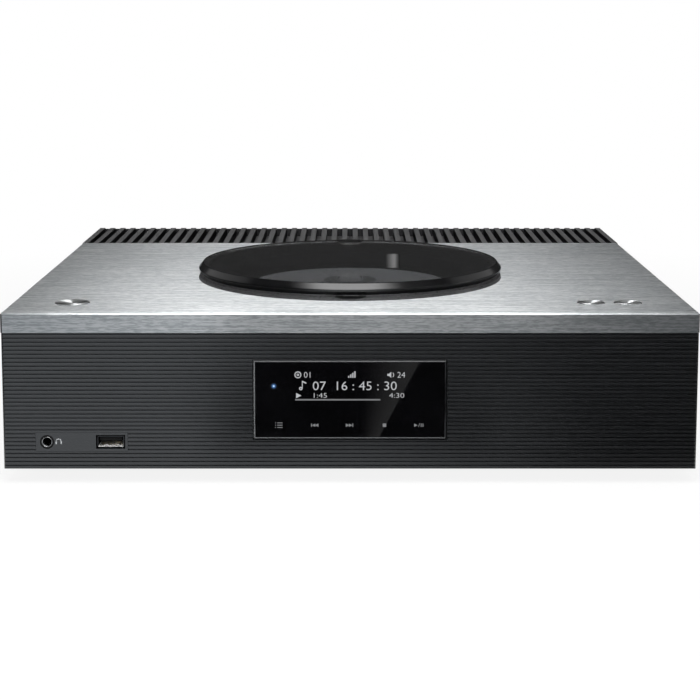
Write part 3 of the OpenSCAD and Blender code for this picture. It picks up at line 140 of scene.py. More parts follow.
plainLooks = {
    "painted_steel": plain((0.017, 0.017, 0.018), 0.25, (0.42, 0.55), 1400, 6e-5),
    "ring_black": plain((0.04, 0.04, 0.041), 0.2, (0.26, 0.32), 900, 1e-5),
    "well_grey": plain((0.016, 0.016, 0.017), 0.15, (0.22, 0.3), 2600, 1e-5),
    "pivot_metal": plain((0.12, 0.12, 0.125), 0.1, (0.28, 0.38), 700, 4e-6, metal=1.0),
    "black_plastic": plain((0.016, 0.016, 0.017), 0.2, (0.36, 0.48), 2200, 2e-5),
    "red_plastic": plain((0.36, 0.012, 0.014), 0.12, (0.3, 0.4), 1500, 1e-5),
    "white_plastic": plain((0.74, 0.73, 0.69), 0.06, (0.34, 0.44), 1500, 1e-5),
    "rubber_black": plain((0.02, 0.02, 0.02), 0.25, (0.7, 0.85), 1800, 5e-5),
    "bright_steel": plain((0.6, 0.61, 0.62), 0.08, (0.16, 0.26), (400, 400, 3000), 3e-6, metal=1.0),
    "black_screw": plain((0.12, 0.12, 0.124), 0.2, (0.3, 0.42), 900, 8e-6, metal=1.0),
    "motor_steel": plain((0.42, 0.43, 0.44), 0.1, (0.32, 0.46), (250, 250, 1800), 6e-6, metal=1.0),
    "gold_plate": plain((0.78, 0.56, 0.24), 0.06, (0.18, 0.28), (500, 1600, 500), 4e-6, metal=1.0),
    "nickel_plate": plain((0.62, 0.62, 0.6), 0.06, (0.18, 0.28), (500, 1600, 500), 4e-6, metal=1.0),
    "circuit_board": plain((0.02, 0.075, 0.04), 0.4, (0.35, 0.5), 260, 2e-5),
    "blue_light": plain((0.6, 0.8, 0.95), 0.05, (0.2, 0.3), 800, 1e-5),
    "lens_glass": plain((0.12, 0.16, 0.3), 0.15, (0.03, 0.06), 300, 1e-6),
}


def plainFinish(slot, look):
    finish, tree, shader = startFinish(slot)
    speck = grain(tree, look["grit"])
    dark = [c * (1 - look["spread"]) for c in look["tone"]]
    light = [min(1.0, c * (1 + look["spread"])) for c in look["tone"]]
    coat = toned(tree, between(tree, speck, 0, 1), dark, light)
    dressed(tree, shader, speck, coat, look, {"Metallic": look["metal"], "Specular IOR Level": look["gloss"]})
    return finish


# Brushed looks: the fascia and fins are dull and dark; upright faces take a share of the tone of the tops as
# painted shade
brushedLook = {
    "dark": (0.485, 0.51, 0.52), "light": (0.82, 0.832, 0.838), "rough": (0.33, 0.4), "stretch": 0.99,
    "brushing": (1, 0.007, 0.01), "fine": (300, 1100, 2600), "broad": (20, 640, 1500), "sideTone": 0.37,
    "sideReach": (0.1, 0.6), "contrast": (0.43, 0.57), "bump": 6e-6, "metal": 1.0, "gloss": 0.5}
fasciaLook = {
    "dark": (0.0024, 0.0026, 0.003), "light": (0.006, 0.0063, 0.0072), "rough": (0.27, 0.36), "stretch": 0.3,
    "brushing": (1, 0.02, 0.01), "fine": (24, 1800, 1800), "sideTone": 1.0, "sideReach": (0.1, 0.6),
    "contrast": (0.3, 0.7), "bump": 4e-6, "metal": 0.0, "gloss": 0.5}
# Fins: their upright sides take a nearly black painted shade between them
finLook = {
    **fasciaLook, "dark": (0.09, 0.09, 0.092), "light": (0.15, 0.15, 0.152), "rough": (0.42, 0.52),
    "stretch": 0.2, "brushing": (0.02, 1, 0.01), "fine": (2200, 60, 2200), "sideTone": 0.03, "bump": 5e-6,
    "gloss": 0.2}
streakSet = {"detail": 3.0, "broadRough": 0.65, "share": 0.5}


def acrossBrushing(tree, brushing):
    lie = put(tree, "ShaderNodeNewGeometry").outputs["Normal"]
    return vectored(tree, "NORMALIZE", vectored(tree, "CROSS_PRODUCT", lie, brushing)[0])[0]


# Painted shade: faces that stand upright are darkened towards a share of their tone
def paintedSideShade(tree, coat, look):
    lie = put(tree, "ShaderNodeNewGeometry").outputs["Normal"]
    upright = put(tree, "ShaderNodeSeparateXYZ", {0: lie}).outputs["Z"]
    dim = between(tree, upright, look["sideTone"], 1.0, *look["sideReach"])
    return put(
        tree, "ShaderNodeMix", {0: 1.0, 6: coat, 7: dim}, data_type="RGBA", blend_type="MULTIPLY").outputs[2]


def brushedFinish(slot, look):
    finish, tree, shader = startFinish(slot)
    detail, share = streakSet["detail"], streakSet["share"]
    streak = grain(tree, look["fine"], detail)
    if "broad" in look:
        broad = joined(tree, "MULTIPLY", grain(tree, look["broad"], detail, streakSet["broadRough"]), share)
        streak = joined(tree, "ADD", joined(tree, "MULTIPLY", streak, share), broad)
    coat = toned(tree, between(tree, streak, 0, 1, *look["contrast"]), look["dark"], look["light"])
    dressed(tree, shader, streak, paintedSideShade(tree, coat, look), look, {
        "Metallic": look["metal"], "Specular IOR Level": look["gloss"], "Anisotropic": look["stretch"],
        "Tangent": acrossBrushing(tree, look["brushing"])})
    return finish


spunLook = {
    "dark": (0.72, 0.74, 0.745), "light": (0.92, 0.93, 0.93), "rough": (0.55, 0.62), "stretch": 0.9,
    "rings": 5200, "detail": 2.0, "swirl": 20, "bump": 4e-6}


def spunFinish(name, centre, look):
    finish, tree, shader = startFinish(name)
    flat = placed(tree, (1, 1, 0), (-centre.x, -centre.y, 0))
    reach = joined(tree, "MULTIPLY", vectored(tree, "LENGTH", flat)["Value"], look["rings"])
    ring = put(tree, "ShaderNodeTexNoise", {
        "W": reach, "Scale": 1.0, "Detail": look["detail"]}, noise_dimensions="1D").outputs[0]
    turn = math.copysign(math.radians(look["swirl"]), centre.x)   # the cutter runs outwards as it turns
    swirl = put(
        tree, "ShaderNodeVectorRotate", {"Vector": vectored(tree, "NORMALIZE", flat)[0], "Angle": turn},
        rotation_type="Z_AXIS")
    coat = toned(tree, between(tree, ring, 0, 1), look["dark"], look["light"])
    dressed(tree, shader, ring, coat, look, {
        "Metallic": 1.0, "Anisotropic": look["stretch"], "Tangent": swirl.outputs[0]})
    return finish


glassLook = {
    "dark": (0.0012, 0.0012, 0.0014), "light": (0.0022, 0.0022, 0.0026), "rough": (0.02, 0.035),
    "smear": (30, 30, 60)}
smokeLook = {
    "dark": (0.93, 0.93, 0.94), "light": (0.97, 0.97, 0.98), "rough": (0.0, 0.012), "smear": (25, 25, 25),
    "index": 1.49, "smoke": (0.03, 0.03, 0.035), "density": 62.0}


def glassFinish(slot, look):
    finish, tree, shader = startFinish(slot)
    smear = grain(tree, look["smear"])
    coat = toned(tree, between(tree, smear, 0, 1), look["dark"], look["light"])
    dressed(tree, shader, smear, coat, look, {})
    if "smoke" in look:
        smoke = put(tree, "ShaderNodeVolumeAbsorption", {
            "Color": (*look["smoke"], 1), "Density": look["density"]})
        feed(tree, shader, {"IOR": look["index"], "Transmission Weight": 1.0})
        feed(tree, tree.nodes["Material Output"], {"Volume": smoke.outputs[0]})
    return finish


glowLook = {"base": (0.02, 0.02, 0.02, 1), "rough": 0.4, "cells": (2600, 2600, 2600), "dim": 0.85}


def glowFinish(name, tone, strength):
    finish, tree, shader = startFinish(name)
    cells = between(tree, grain(tree, glowLook["cells"], 1.0), 0, 1)
    dim = [c * glowLook["dim"] for c in tone]
    feed(tree, shader, {
        "Base Color": glowLook["base"], "Roughness": glowLook["rough"],
        "Emission Color": toned(tree, cells, dim, tone), "Emission Strength": strength})
    return finish


finishes = {slot: plainFinish(slot, look) for slot, look in plainLooks.items()}
otherLooks = (
    ("brushed_aluminium", brushedFinish, brushedLook), ("fascia_aluminium", brushedFinish, fasciaLook),
    ("black_aluminium", brushedFinish, finLook), ("display_glass", glassFinish, glassLook),
    ("smoked_acrylic", glassFinish, smokeLook), ("button_aluminium", brushedFinish, brushedLook))
for slot, kind, look in otherLooks:
    finishes[slot] = kind(slot, look)
slotOf = {row["node"]: row["material_slot"] for row in frame["record"]["subparts"]}
for label, slot in slotOf.items():
    nodes[label].data.materials.clear()
    nodes[label].data.materials.append(finishes[slot])
print("finishes:", len(finishes))


# Mesh helpers, in millimetres

def meshFrom(bm, name):
    bmesh.ops.recalc_face_normals(bm, faces=bm.faces)
    mesh = bpy.data.meshes.new(name)
    bm.to_mesh(mesh)
    bm.free()
    if "custom_normal" in mesh.attributes:
        mesh.attributes.remove(mesh.attributes["custom_normal"])
    return mesh


def meshOf(thing):
    graph = bpy.context.evaluated_depsgraph_get()
    return bpy.data.meshes.new_from_object(thing.evaluated_get(graph))


def evened(piece):
    modifier = piece.modifiers.new("evened", "WEIGHTED_NORMAL")   # flat faces stay flat beside eased edges
    modifier.keep_sharp = True
    mesh = meshOf(piece)
    piece.modifiers.clear()
    piece.data = mesh
    mesh.name = piece.name


meshSet = {"sharp": math.radians(32), "flat": math.radians(0.2), "weld": 0.002 * mm, "cornerShare": 0.45}


def addPiece(name, form, body, slot, finish=None, replaced=()):
    mesh = meshFrom(form, name) if isinstance(form, bmesh.types.BMesh) else form
    if not mesh.materials:
        mesh.materials.append(finish or finishes[slot])
    mesh.shade_smooth()
    mesh.set_sharp_from_angle(angle=meshSet["sharp"])
    piece = bpy.data.objects.new(name, mesh)
    scene.collection.objects.link(piece)
    evened(piece)
    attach(piece, body)
    if replaced:
        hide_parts(*replaced)
    return piece


def painted(mesh, coats, pick):
    for coat in coats:
        mesh.materials.append(coat)
    for face in mesh.polygons:
        face.material_index = int(pick(face))
    return mesh


def cadCopy(node, bevel=0.0, steps=2, angle=20, only=None):
    bm = bmesh.new()
    bm.from_mesh(nodes[node].data)
    bmesh.ops.remove_doubles(bm, verts=bm.verts, dist=meshSet["weld"])
    bmesh.ops.dissolve_limit(bm, angle_limit=meshSet["flat"], verts=bm.verts, edges=bm.edges)
    if bevel:
        edges = [e for e in bm.edges if len(e.link_faces) == 2 and e.calc_face_angle() > math.radians(angle)]
        edges = [e for e in edges if only is None or all(only(v.co / mm) for v in e.verts)]
        bmesh.ops.bevel(bm, geom=edges, offset=bevel * mm, segments=steps, profile=0.5, affect="EDGES",
                        clamp_overlap=True)
    return meshFrom(bm, node + "Form")


def cutFrom(mesh, cutter):
    pair = [bpy.data.objects.new("cut", thing) for thing in (mesh, cutter)]
    for thing in pair:
        scene.collection.objects.link(thing)
    cut = pair[0].modifiers.new("cut", "BOOLEAN")
    cut.object = pair[1]
    cut.operation = "DIFFERENCE"
    result = meshOf(pair[0])
    for thing in pair:
        bpy.data.objects.remove(thing)
    return result


def softened(profile, radius, steps=3):
    points = [profile[0]]
    for before, corner, after in zip(profile, profile[1:], profile[2:]):
        ends = []
        for other in (before, after):
            way = Vector(other) - Vector(corner)
            ends.append(Vector(corner) + way.normalized() * min(radius, way.length * meshSet["cornerShare"]))
        for i in range(steps + 1):
            t = i / steps
            p = ends[0] * (1 - t) ** 2 + Vector(corner) * 2 * t * (1 - t) + ends[1] * t ** 2
            points.append((p.x, p.y))
    return points + [profile[-1]]


def lathe(bm, profile, centre, axis="Z", steps=96, closed=False):
    rings = []
    for r, h in profile:
        ring = []
        for k in range(steps if r > 1e-6 else 1):
            a = 2 * math.pi * k / steps
            u, v = r * math.cos(a), r * math.sin(a)
            offset = Vector((u, v, h)) if axis == "Z" else Vector((u, h, v))
            ring.append(bm.verts.new((Vector(centre) + offset) * mm))
        rings.append(ring)
    pairs = list(zip(rings, rings[1:])) + ([(rings[-1], rings[0])] if closed else [])
    for one, two in pairs:
        for k in range(steps):
            n = (k + 1) % steps
            corners = [one[k % len(one)], one[n % len(one)], two[n % len(two)], two[k % len(two)]]
            corners = list(dict.fromkeys(corners))
            if len(corners) > 2:
                bm.faces.new(corners)


def fitted(verts, middle, size):
    for v in verts:
        v.co = (middle + Vector(a * b for a, b in zip(v.co, size))) * mm


def softBox(bm, low, high, radius=0.3, steps=2):
    part = bmesh.ops.create_cube(bm, size=1.0)["verts"]
    fitted(part, (Vector(low) + Vector(high)) / 2, Vector(high) - Vector(low))
    edges = list(dict.fromkeys(e for v in part for e in v.link_edges))
    bmesh.ops.bevel(bm, geom=edges, offset=radius * mm, segments=steps, profile=0.5, affect="EDGES")


def walled(bm, near, far):
    for i in range(len(near)):
        n = (i + 1) % len(near)
        bm.faces.new((near[i], near[n], far[n], far[i]))


def prism(bm, outline, low, high, axis="Y"):
    seat = {"X": lambda u, v, w: (w, u, v), "Y": lambda u, v, w: (u, w, v), "Z": lambda u, v, w: (u, v, w)}
    near, far = ([bm.verts.new(Vector(seat[axis](u, v, w)) * mm) for u, v in outline] for w in (low, high))
    bm.faces.new(near)
    bm.faces.new(far)
    walled(bm, near, far)


def arcPoints(centre, radius, start, end, steps=8):
    angles = [math.radians(start + (end - start) * i / steps) for i in range(steps + 1)]
    return [(centre[0] + radius * math.cos(a), centre[1] + radius * math.sin(a)) for a in angles]


def roundedBox(w, h, r, middle=(0, 0), steps=4):
    points = []
    for sx, sz, start in ((1, 1, 0), (-1, 1, 90), (-1, -1, 180), (1, -1, 270)):
        corner = (middle[0] + sx * (w / 2 - r), middle[1] + sz * (h / 2 - r))
        points += arcPoints(corner, r, start, start + 90, steps)
    return points


# Geometry Nodes trees for what repeats: a row, or one shape on each given point

def startTree(name, inputs):
    tree = bpy.data.node_groups.new(name, "GeometryNodeTree")
    add = tree.interface.new_socket
    add("Geometry", in_out="OUTPUT", socket_type="NodeSocketGeometry")
    kinds = {"Geometry": "Geometry", **inputs, "Turn": "Vector", "Shape": "Object", "Finish": "Material"}
    names = {label: add(label, in_out="INPUT", socket_type="NodeSocket" + kind).identifier
             for label, kind in kinds.items()}
    return tree, names, put(tree, "NodeGroupInput").outputs


def endTree(tree, given, points):
    shape = put(tree, "GeometryNodeObjectInfo", {"Object": given["Shape"]})
    spread = put(tree, "GeometryNodeInstanceOnPoints", {
        "Points": points, "Instance": shape.outputs["Geometry"], "Rotation": given["Turn"]})
    real = put(tree, "GeometryNodeRealizeInstances", {0: spread.outputs[0]})
    coat = put(tree, "GeometryNodeSetMaterial", {"Geometry": real.outputs[0], "Material": given["Finish"]})
    put(tree, "NodeGroupOutput", {0: coat.outputs[0]})


def rowTree():
    tree, names, given = startTree("rowOfShapes", {"Count": "Int", "Start": "Vector", "Step": "Vector"})
    line = put(tree, "GeometryNodeMeshLine", {
        "Count": given["Count"], "Start Location": given["Start"], "Offset": given["Step"]}, mode="OFFSET")
    endTree(tree, given, line.outputs[0])
    return tree, names


def spotTree():
    tree, names, given = startTree("shapeOnPoints", {})
    endTree(tree, given, given["Geometry"])
    return tree, names


trees = {"row": rowTree(), "spot": spotTree()}


def repeated(kind, name, shape, finish, points=(), **values):
    tree, names = trees[kind]
    source = bpy.data.objects.new(name + "Shape", shape)
    host = bpy.data.objects.new(name + "Host", bpy.data.meshes.new(name + "Points"))
    host.data.from_pydata([Vector(p) * mm for p in points], [], [])
    scene.collection.objects.link(source)
    scene.collection.objects.link(host)
    modifier = host.modifiers.new("repeat", "NODES")
    modifier.node_group = tree
    for label, value in {**values, "Shape": source, "Finish": finish}.items():
        modifier[names[label]] = value
    mesh = meshOf(host)
    mesh.name = name
    bpy.data.objects.remove(host)
    bpy.data.objects.remove(source)
    return mesh


def rowAlong(name, bm, slot, count, start, pitch):
    return repeated(
        "row", name, meshFrom(bm, name + "Form"), finishes[slot], Count=count, Start=(start * mm, 0.0, 0.0),
        Step=(pitch * mm, 0.0, 0.0))


def addMesh(bm, mesh):
    bm.from_mesh(mesh)
    bpy.data.meshes.remove(mesh)


# Top plate with its side edges eased, and given a darker finish as a painted shaded outline
plateSet = {
    "ease": 0.9, "steps": 6, "near": 0.05, "slope": (0.1, 0.85), "band": 1,
    "paintedEdgeShadeLook": {**brushedLook, "dark": (0.05, 0.053, 0.056), "light": (0.1, 0.104, 0.108)}}


def easedPlate(sizes):
    low, high = (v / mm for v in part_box("top_plate"))
    near, slope, under = sizes["near"], sizes["slope"], (high.z - sizes["band"]) * mm
    mesh = cadCopy(
        "top_plate", sizes["ease"], sizes["steps"],
        only=lambda p: abs(p.x) > high.x - near and p.z > high.z - near)
    # Painted shade: the eased side edges take a darker brushed finish
    coats = [finishes["brushed_aluminium"], brushedFinish("plateEdge", sizes["paintedEdgeShadeLook"])]
    painted(mesh, coats, lambda face: slope[0] < abs(face.normal.x) < slope[1] and face.center.z > under)
    addPiece("easedPlate", mesh, "case", "brushed_aluminium", replaced=["top_plate"])


easedPlate(plateSet)

# Finned heat sink: slab and a row of fins with eased edges and a cut rear corner
sinkSet = {
    "fins": 50, "thick": 3.5, "slab": 4.0, "rooted": 0.2, "clear": 0.5, "rearCut": 0.6, "ease": 0.25,
    "slabEase": 0.15}


def finnedSink(sizes):
    low, high = (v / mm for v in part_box("heat_sink"))
    fin = bmesh.new()
    t = sizes["thick"] / 2
    cut = sizes["rearCut"]
    foot = low.z + sizes["slab"] - sizes["rooted"]
    outline = [
        (low.y, foot), (high.y, foot), (high.y, high.z - cut), (high.y - cut, high.z), (low.y, high.z)]
    prism(fin, outline, -t, t, "X")
    top = [e for e in fin.edges if min(v.co.z for v in e.verts) > (foot + sizes["clear"]) * mm]
    bmesh.ops.bevel(fin, geom=top, offset=sizes["ease"] * mm, segments=2, profile=0.5, affect="EDGES")
    pitch = (high.x - low.x - sizes["thick"]) / (sizes["fins"] - 1)
    bm = bmesh.new()
    softBox(bm, low, (high.x, high.y, low.z + sizes["slab"]), sizes["slabEase"], 1)
    addMesh(bm, rowAlong("finRow", fin, "black_aluminium", sizes["fins"], low.x + t, pitch))
    addPiece("finnedSink", bm, "case", "black_aluminium", replaced=["heat_sink"])


finnedSink(sinkSet)
print("heat sink: done")

# Smoked lid, its bevelled edge painted black inside
lidSet = {
    "rimTone": plain((0.002, 0.002, 0.0024), 0.2, (0.16, 0.2), 300, 1e-6), "rimFrom": 75.0, "level": 0.98,
    "ease": 0.3, "steps": 3}


def smokedLid(sizes):
    ring = sum(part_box("well_ring"), Vector()) / 2
    mesh = cadCopy("lid", sizes["ease"], sizes["steps"])
    coats = [finishes["smoked_acrylic"], plainFinish("lidRim", sizes["rimTone"])]
    painted(mesh, coats, lambda face: abs(face.normal.z) < sizes["level"]
            and (face.center - ring).xy.length > sizes["rimFrom"] * mm)
    piece = addPiece("smokedLid", mesh, "lid", "smoked_acrylic", replaced=["lid"])
    piece.visible_shadow = False   # lamps reach the well through the clear lid


smokedLid(lidSet)

# Trim ring with a shallow finger notch below the front of the lid, its inside near black as painted shade
notchSet = {
    "size": (7.6, 3.2, 1.35), "in": 0.8, "up": 0.15, "skin": 1.04,
    "shade": plain((0.004, 0.004, 0.004), 0.2, (0.45, 0.55), 900, 5e-6, gloss=0.2)}


def notchedTrim(sizes):
    low, high = (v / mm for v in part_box("well_ring"))
    middle = Vector(((low.x + high.x) / 2, low.y + sizes["in"], high.z + sizes["up"]))
    bm = bmesh.new()
    bmesh.ops.create_uvsphere(bm, u_segments=64, v_segments=32, radius=1.0)
    fitted(bm.verts, middle, sizes["size"])

    def inNotch(face):
        away = face.center / mm - middle
        return sum((a / b) ** 2 for a, b in zip(away, sizes["size"])) < sizes["skin"]

    mesh = cutFrom(cadCopy("well_ring"), meshFrom(bm, "notchShape"))
    # Painted shade: the faces inside the notch take a near-black finish
    painted(mesh, [finishes["ring_black"], plainFinish("notchShade", sizes["shade"])], inNotch)
    addPiece("wellTrim", mesh, "case", "ring_black", replaced=["well_ring"])


notchedTrim(notchSet)

# Well, its flat floor a paler satin than the wall and rim
wellSet = {"floorTone": plain((0.62, 0.64, 0.66), 0.08, (0.4, 0.5), 1800, 1e-5), "level": 0.995, "below": 5}


def wellMoulding(sizes):
    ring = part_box("well_ring")[0].z
    coats = [finishes["well_grey"], plainFinish("wellFloor", sizes["floorTone"])]
    mesh = painted(
        cadCopy("disc_well"), coats,
        lambda face: face.normal.z > sizes["level"] and face.center.z < ring - sizes["below"] * mm)
    addPiece("wellMoulding", mesh, "case", "well_grey", replaced=["disc_well"])


wellMoulding(wellSet)
print("lid and well: done")

# Dished buttons on collars and stems
buttonSet = {
    "collarWide": 1.2, "stem": 2.5, "rim": 0.7, "lip": 0.3, "dish": 0.5, "ease": 0.2, "dishSteps": 14,
    "steps": 128}


def dishedButton(name, node, sizes):
    low, high = (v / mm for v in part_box(node))
    middle = (low + high) / 2
    wide, stem, dish, top = (high.x - low.x) / 2, sizes["stem"], sizes["dish"], high.z
    r = wide - sizes["collarWide"]
    collarLow, collarHigh = sorted({round(v.co.z / mm, 3) for v in nodes[node].data.vertices})[1:3]
    dishR = r - sizes["rim"]
    ball = (dishR ** 2 + dish ** 2) / (2 * dish)

    def dishPoint(reach):
        return reach, top - dish + ball - math.sqrt(ball ** 2 - reach ** 2)

    inner = dishR - sizes["lip"]
    outer = [
        (0, low.z), (stem, low.z), (stem, collarLow), (wide, collarLow), (wide, collarHigh), (r, collarHigh),
        (r, top), (dishR, top), dishPoint(inner)]
    steps = sizes["dishSteps"]
    profile = softened(outer, sizes["ease"])
    profile += [dishPoint(inner * (1 - i / steps)) for i in range(1, steps + 1)]
    bm = bmesh.new()
    lathe(bm, profile, (middle.x, middle.y, 0), steps=sizes["steps"])
    addPiece(
        name, bm, node, "button_aluminium", spunFinish(name + "Spun", middle * mm, spunLook), [node])


for label, node in (("powerKey", "power_button"), ("volumeDownKey", "volume_down_button"),
                    ("volumeUpKey", "volume_up_button")):
    dishedButton(label, node, buttonSet)
print("buttons: done")

# Display: glass with a painted highlight on its eased front edge, lit signs and dim touch keys just proud of
# it, placed from its middle
displaySet = {
    "proud": 0.04, "sunk": 0.02, "thin": 0.035, "capShare": 0.7, "lit": ((0.95, 0.97, 1.0), 0.5),
    "keys": ((0.9, 0.92, 0.95), 0.2), "bar": ((0.9, 0.92, 0.95), 0.16)}
glassLow, glassHigh = (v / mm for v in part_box("display_window"))
glassMid = (glassLow + glassHigh) / 2
signFront = glassLow.y - displaySet["proud"]
signBack = glassLow.y + displaySet["sunk"]


def signPrism(bm, outline):
    prism(bm, [(glassMid.x + x, glassMid.z + z) for x, z in outline], signFront, signBack)


def signRing(bm, x, z, outer, inner):
    lathe(bm, [(outer, signFront), (inner, signFront), (inner, signBack), (outer, signBack)],
          (glassMid.x + x, 0, glassMid.z + z), "Y", 24, True)


def signWord(bm, text, x, z, cap, wide):
    curve = bpy.data.curves.new("word", "FONT")
    curve.body = text
    curve.size = cap * mm / displaySet["capShare"]
    curve.extrude = (signBack - signFront) / 2 * mm
    curve.resolution_u = 3
    curve.offset = -displaySet["thin"] * mm   # slimmer strokes
    holder = bpy.data.objects.new("word", curve)
    scene.collection.objects.link(holder)
    mesh = meshOf(holder)
    bpy.data.objects.remove(holder)
    place = Matrix.Translation(Vector((glassMid.x + x, (signFront + signBack) / 2, glassMid.z + z)) * mm)
    mesh.transform(place @ Matrix.Rotation(math.pi / 2, 4, "X") @ Matrix.Diagonal((wide, 1, 1, 1)))
    addMesh(bm, mesh)


def bar(x0, z0, x1, z1):
    return [(x0, z0), (x1, z0), (x1, z1), (x0, z1)]


def arrow(x, z, size, way=1):
    back = x - way * size / 2
    return [(back, z - size / 2), (back, z + size / 2), (x + way * size / 2, z)]


# Signs on the glass: rings are x, z and two radii; words are text, x, z, height and width of a digit
waveSet = {"centre": (20.0, 12.4), "outer": 1.5, "inner": 1.15, "half": 50}
wave = arcPoints(waveSet["centre"], waveSet["outer"], -waveSet["half"], waveSet["half"])
wave += arcPoints(waveSet["centre"], waveSet["inner"], waveSet["half"], -waveSet["half"])
litSet = {
    "rings": ((-25.4, 12.4, 1.7, 1.25), (-25.4, 12.4, 0.6, 0.25), (-24.0, 5.6, 0.85, 0.3)),   # disc, note
    "words": (("01", -22.6, 11.0, 2.9, 1.0), ("24", 22.9, 11.0, 2.9, 1.0), ("1:45", -18.6, 1.0, 2.4, 1.3),
              ("07  16 : 45 : 30", -18.4, 4.8, 4.4, 1.08), ("4:30", 19.0, 1.0, 2.4, 1.3)),
    "outlines": [
        *(bar(i - 0.9, 11.0, i - 0.3, 11.9 + 0.75 * i) for i in range(4)),   # signal, loudspeaker, note, play
        ((18.2, 11.9), (19.0, 11.9), (20.1, 10.9), (20.1, 13.9), (19.0, 12.9), (18.2, 12.9)), wave,
        bar(-23.45, 5.6, -23.1, 9.4), ((-23.1, 9.4), (-21.3, 8.6), (-21.3, 7.9), (-23.1, 8.7)),
        arrow(-25.0, 2.1, 2.6)]}
barSet = {"outlines": [bar(-26.8, -0.35, 14.8, 0.4)]}

# Touch keys in one row: list, back, forward, stop, play and pause
rowSet = {
    "z": -12.7, "high": 1.7, "listFeet": (-1.3, -0.15, 1.0), "listThick": 0.35,
    "listSpans": ((-36.6, -36.2), (-35.6, -33.0)),
    "arrows": ((-16.3, -1), (-17.8, -1), (-1.2, 1), (0.3, 1), (32.2, 1)),
    "bars": ((-19.05, -18.65), (1.15, 1.55), (16.0, 17.7), (34.6, 35.0), (35.5, 35.9)),
    "slash": ((33.3, -0.95), (33.55, -0.95), (34.25, 0.95), (34.0, 0.95))}


def keyOutlines(sizes):
    z, high, thick = sizes["z"], sizes["high"], sizes["listThick"]
    lines = [bar(x0, z + up, x1, z + up + thick) for up in sizes["listFeet"] for x0, x1 in sizes["listSpans"]]
    bars = [bar(x0, z - high / 2, x1, z + high / 2) for x0, x1 in sizes["bars"]]
    arrows = [arrow(x, z, high, way) for x, way in sizes["arrows"]]
    return lines + bars + arrows + [[(x, z + up) for x, up in sizes["slash"]]]


def signs(sizes):
    bm = bmesh.new()
    for ring in sizes.get("rings", ()):
        signRing(bm, *ring)
    for word in sizes.get("words", ()):
        signWord(bm, *word)
    for outline in sizes["outlines"]:
        signPrism(bm, outline)
    return bm


glassSet = {
    "ease": 0.35, "steps": 3, "near": 0.05, "slope": (0.1, 0.97), "right": 0.1,
    "edge": plain((0.1, 0.102, 0.105), 0.05, (0.3, 0.36), 900, 5e-6)}


def edgedGlass(sizes):
    slope = sizes["slope"]
    mesh = cadCopy(
        "display_window", sizes["ease"], sizes["steps"], only=lambda p: p.y < glassLow.y + sizes["near"])
    # Painted highlight: the eased front edge, but for its right side, takes a light grey finish
    painted(mesh, [finishes["display_glass"], plainFinish("glassEdge", sizes["edge"])],
            lambda face: slope[0] < -face.normal.y < slope[1] and face.normal.x < sizes["right"])
    addPiece("displayGlass", mesh, "case", "display_glass", replaced=["display_window"])


edgedGlass(glassSet)
addPiece("litSigns", signs(litSet), "case", None, glowFinish("litSign", *displaySet["lit"]))
addPiece("progressBar", signs(barSet), "case", None, glowFinish("dimSign", *displaySet["bar"]))
addPiece(
    "touchKeys", signs({"outlines": keyOutlines(rowSet)}), "case", None,
    glowFinish("keySign", *displaySet["keys"]))

# Status light: a small bright dot with a soft blue halo on the glass
lightSet = {
    "x": -37.2, "z": 6.8, "core": 0.36, "halo": 1.7, "haloIn": 0.01, "dome": 0.08, "soft": 2.5,
    "domeAngles": (0.4, 0.8, 1.2, 1.57), "blue": (0.12, 0.4, 1.0), "white": (0.75, 0.92, 1.0),
    "glass": (0.0015, 0.0015, 0.002, 1), "glassRough": 0.2, "coreStrength": 1.0, "haloStrength": 0.7}


def haloFinish(sizes):
    finish, tree, shader = startFinish("statusHalo")
    flat = placed(tree, (1, 0, 1), (-(glassMid.x + sizes["x"]) * mm, 0, -(glassMid.z + sizes["z"]) * mm))
    reach = vectored(tree, "LENGTH", flat)["Value"]
    fade = between(tree, reach, 1.0, 0.0, sizes["core"] * mm, sizes["halo"] * mm)
    soft = joined(tree, "POWER", fade, sizes["soft"])
    feed(tree, shader, {
        "Base Color": sizes["glass"], "Roughness": sizes["glassRough"],
        "Emission Color": toned(tree, soft, (0, 0, 0), sizes["blue"]),
        "Emission Strength": sizes["haloStrength"]})
    return finish


def statusLight(sizes):
    spot = (glassMid.x + sizes["x"], 0, glassMid.z + sizes["z"])
    core, halo, rise, front = sizes["core"], sizes["halo"], sizes["dome"], signFront + sizes["haloIn"]
    bm = bmesh.new()
    lathe(bm, [(0, front), (halo, front), (halo, signBack), (0, signBack)], spot, "Y", 32)
    addPiece("statusHalo", bm, "case", "blue_light", haloFinish(sizes))
    bm = bmesh.new()
    dome = [(core * math.sin(a), signFront - rise * math.cos(a)) for a in sizes["domeAngles"]]
    lathe(bm, [(0, signFront - rise)] + dome + [(core, signBack), (0, signBack)], spot, "Y", 24)
    addPiece(
        "statusDot", bm, "case", "blue_light",
        glowFinish("statusGlow", sizes["white"], sizes["coreStrength"]))


statusLight(lightSet)
print("display: done")

# Sockets in the front strip: jack collar and ring, bus shell with folded tabs and a tongue with contacts
# Painted shade: a near-black, barely glossy finish for the jack collar, the bus tongue and the inside of the
# bus shell
deepBlack = plainFinish("deepBlack", plain((0.004, 0.004, 0.004), 0.2, (0.6, 0.7), 900, 1e-5, gloss=0.1))
nodes["headphone_socket"].data.materials[0] = deepBlack
jackSet = {
    "bore": 1.8, "countersink": 2.3, "sinkDeep": 0.8, "edge": 0.06, "rim": 0.08, "ease": 0.1,
    "tone": plain((0.4, 0.4, 0.4), 0.08, (0.14, 0.2), (500, 1600, 500), 3e-6, metal=1.0)}


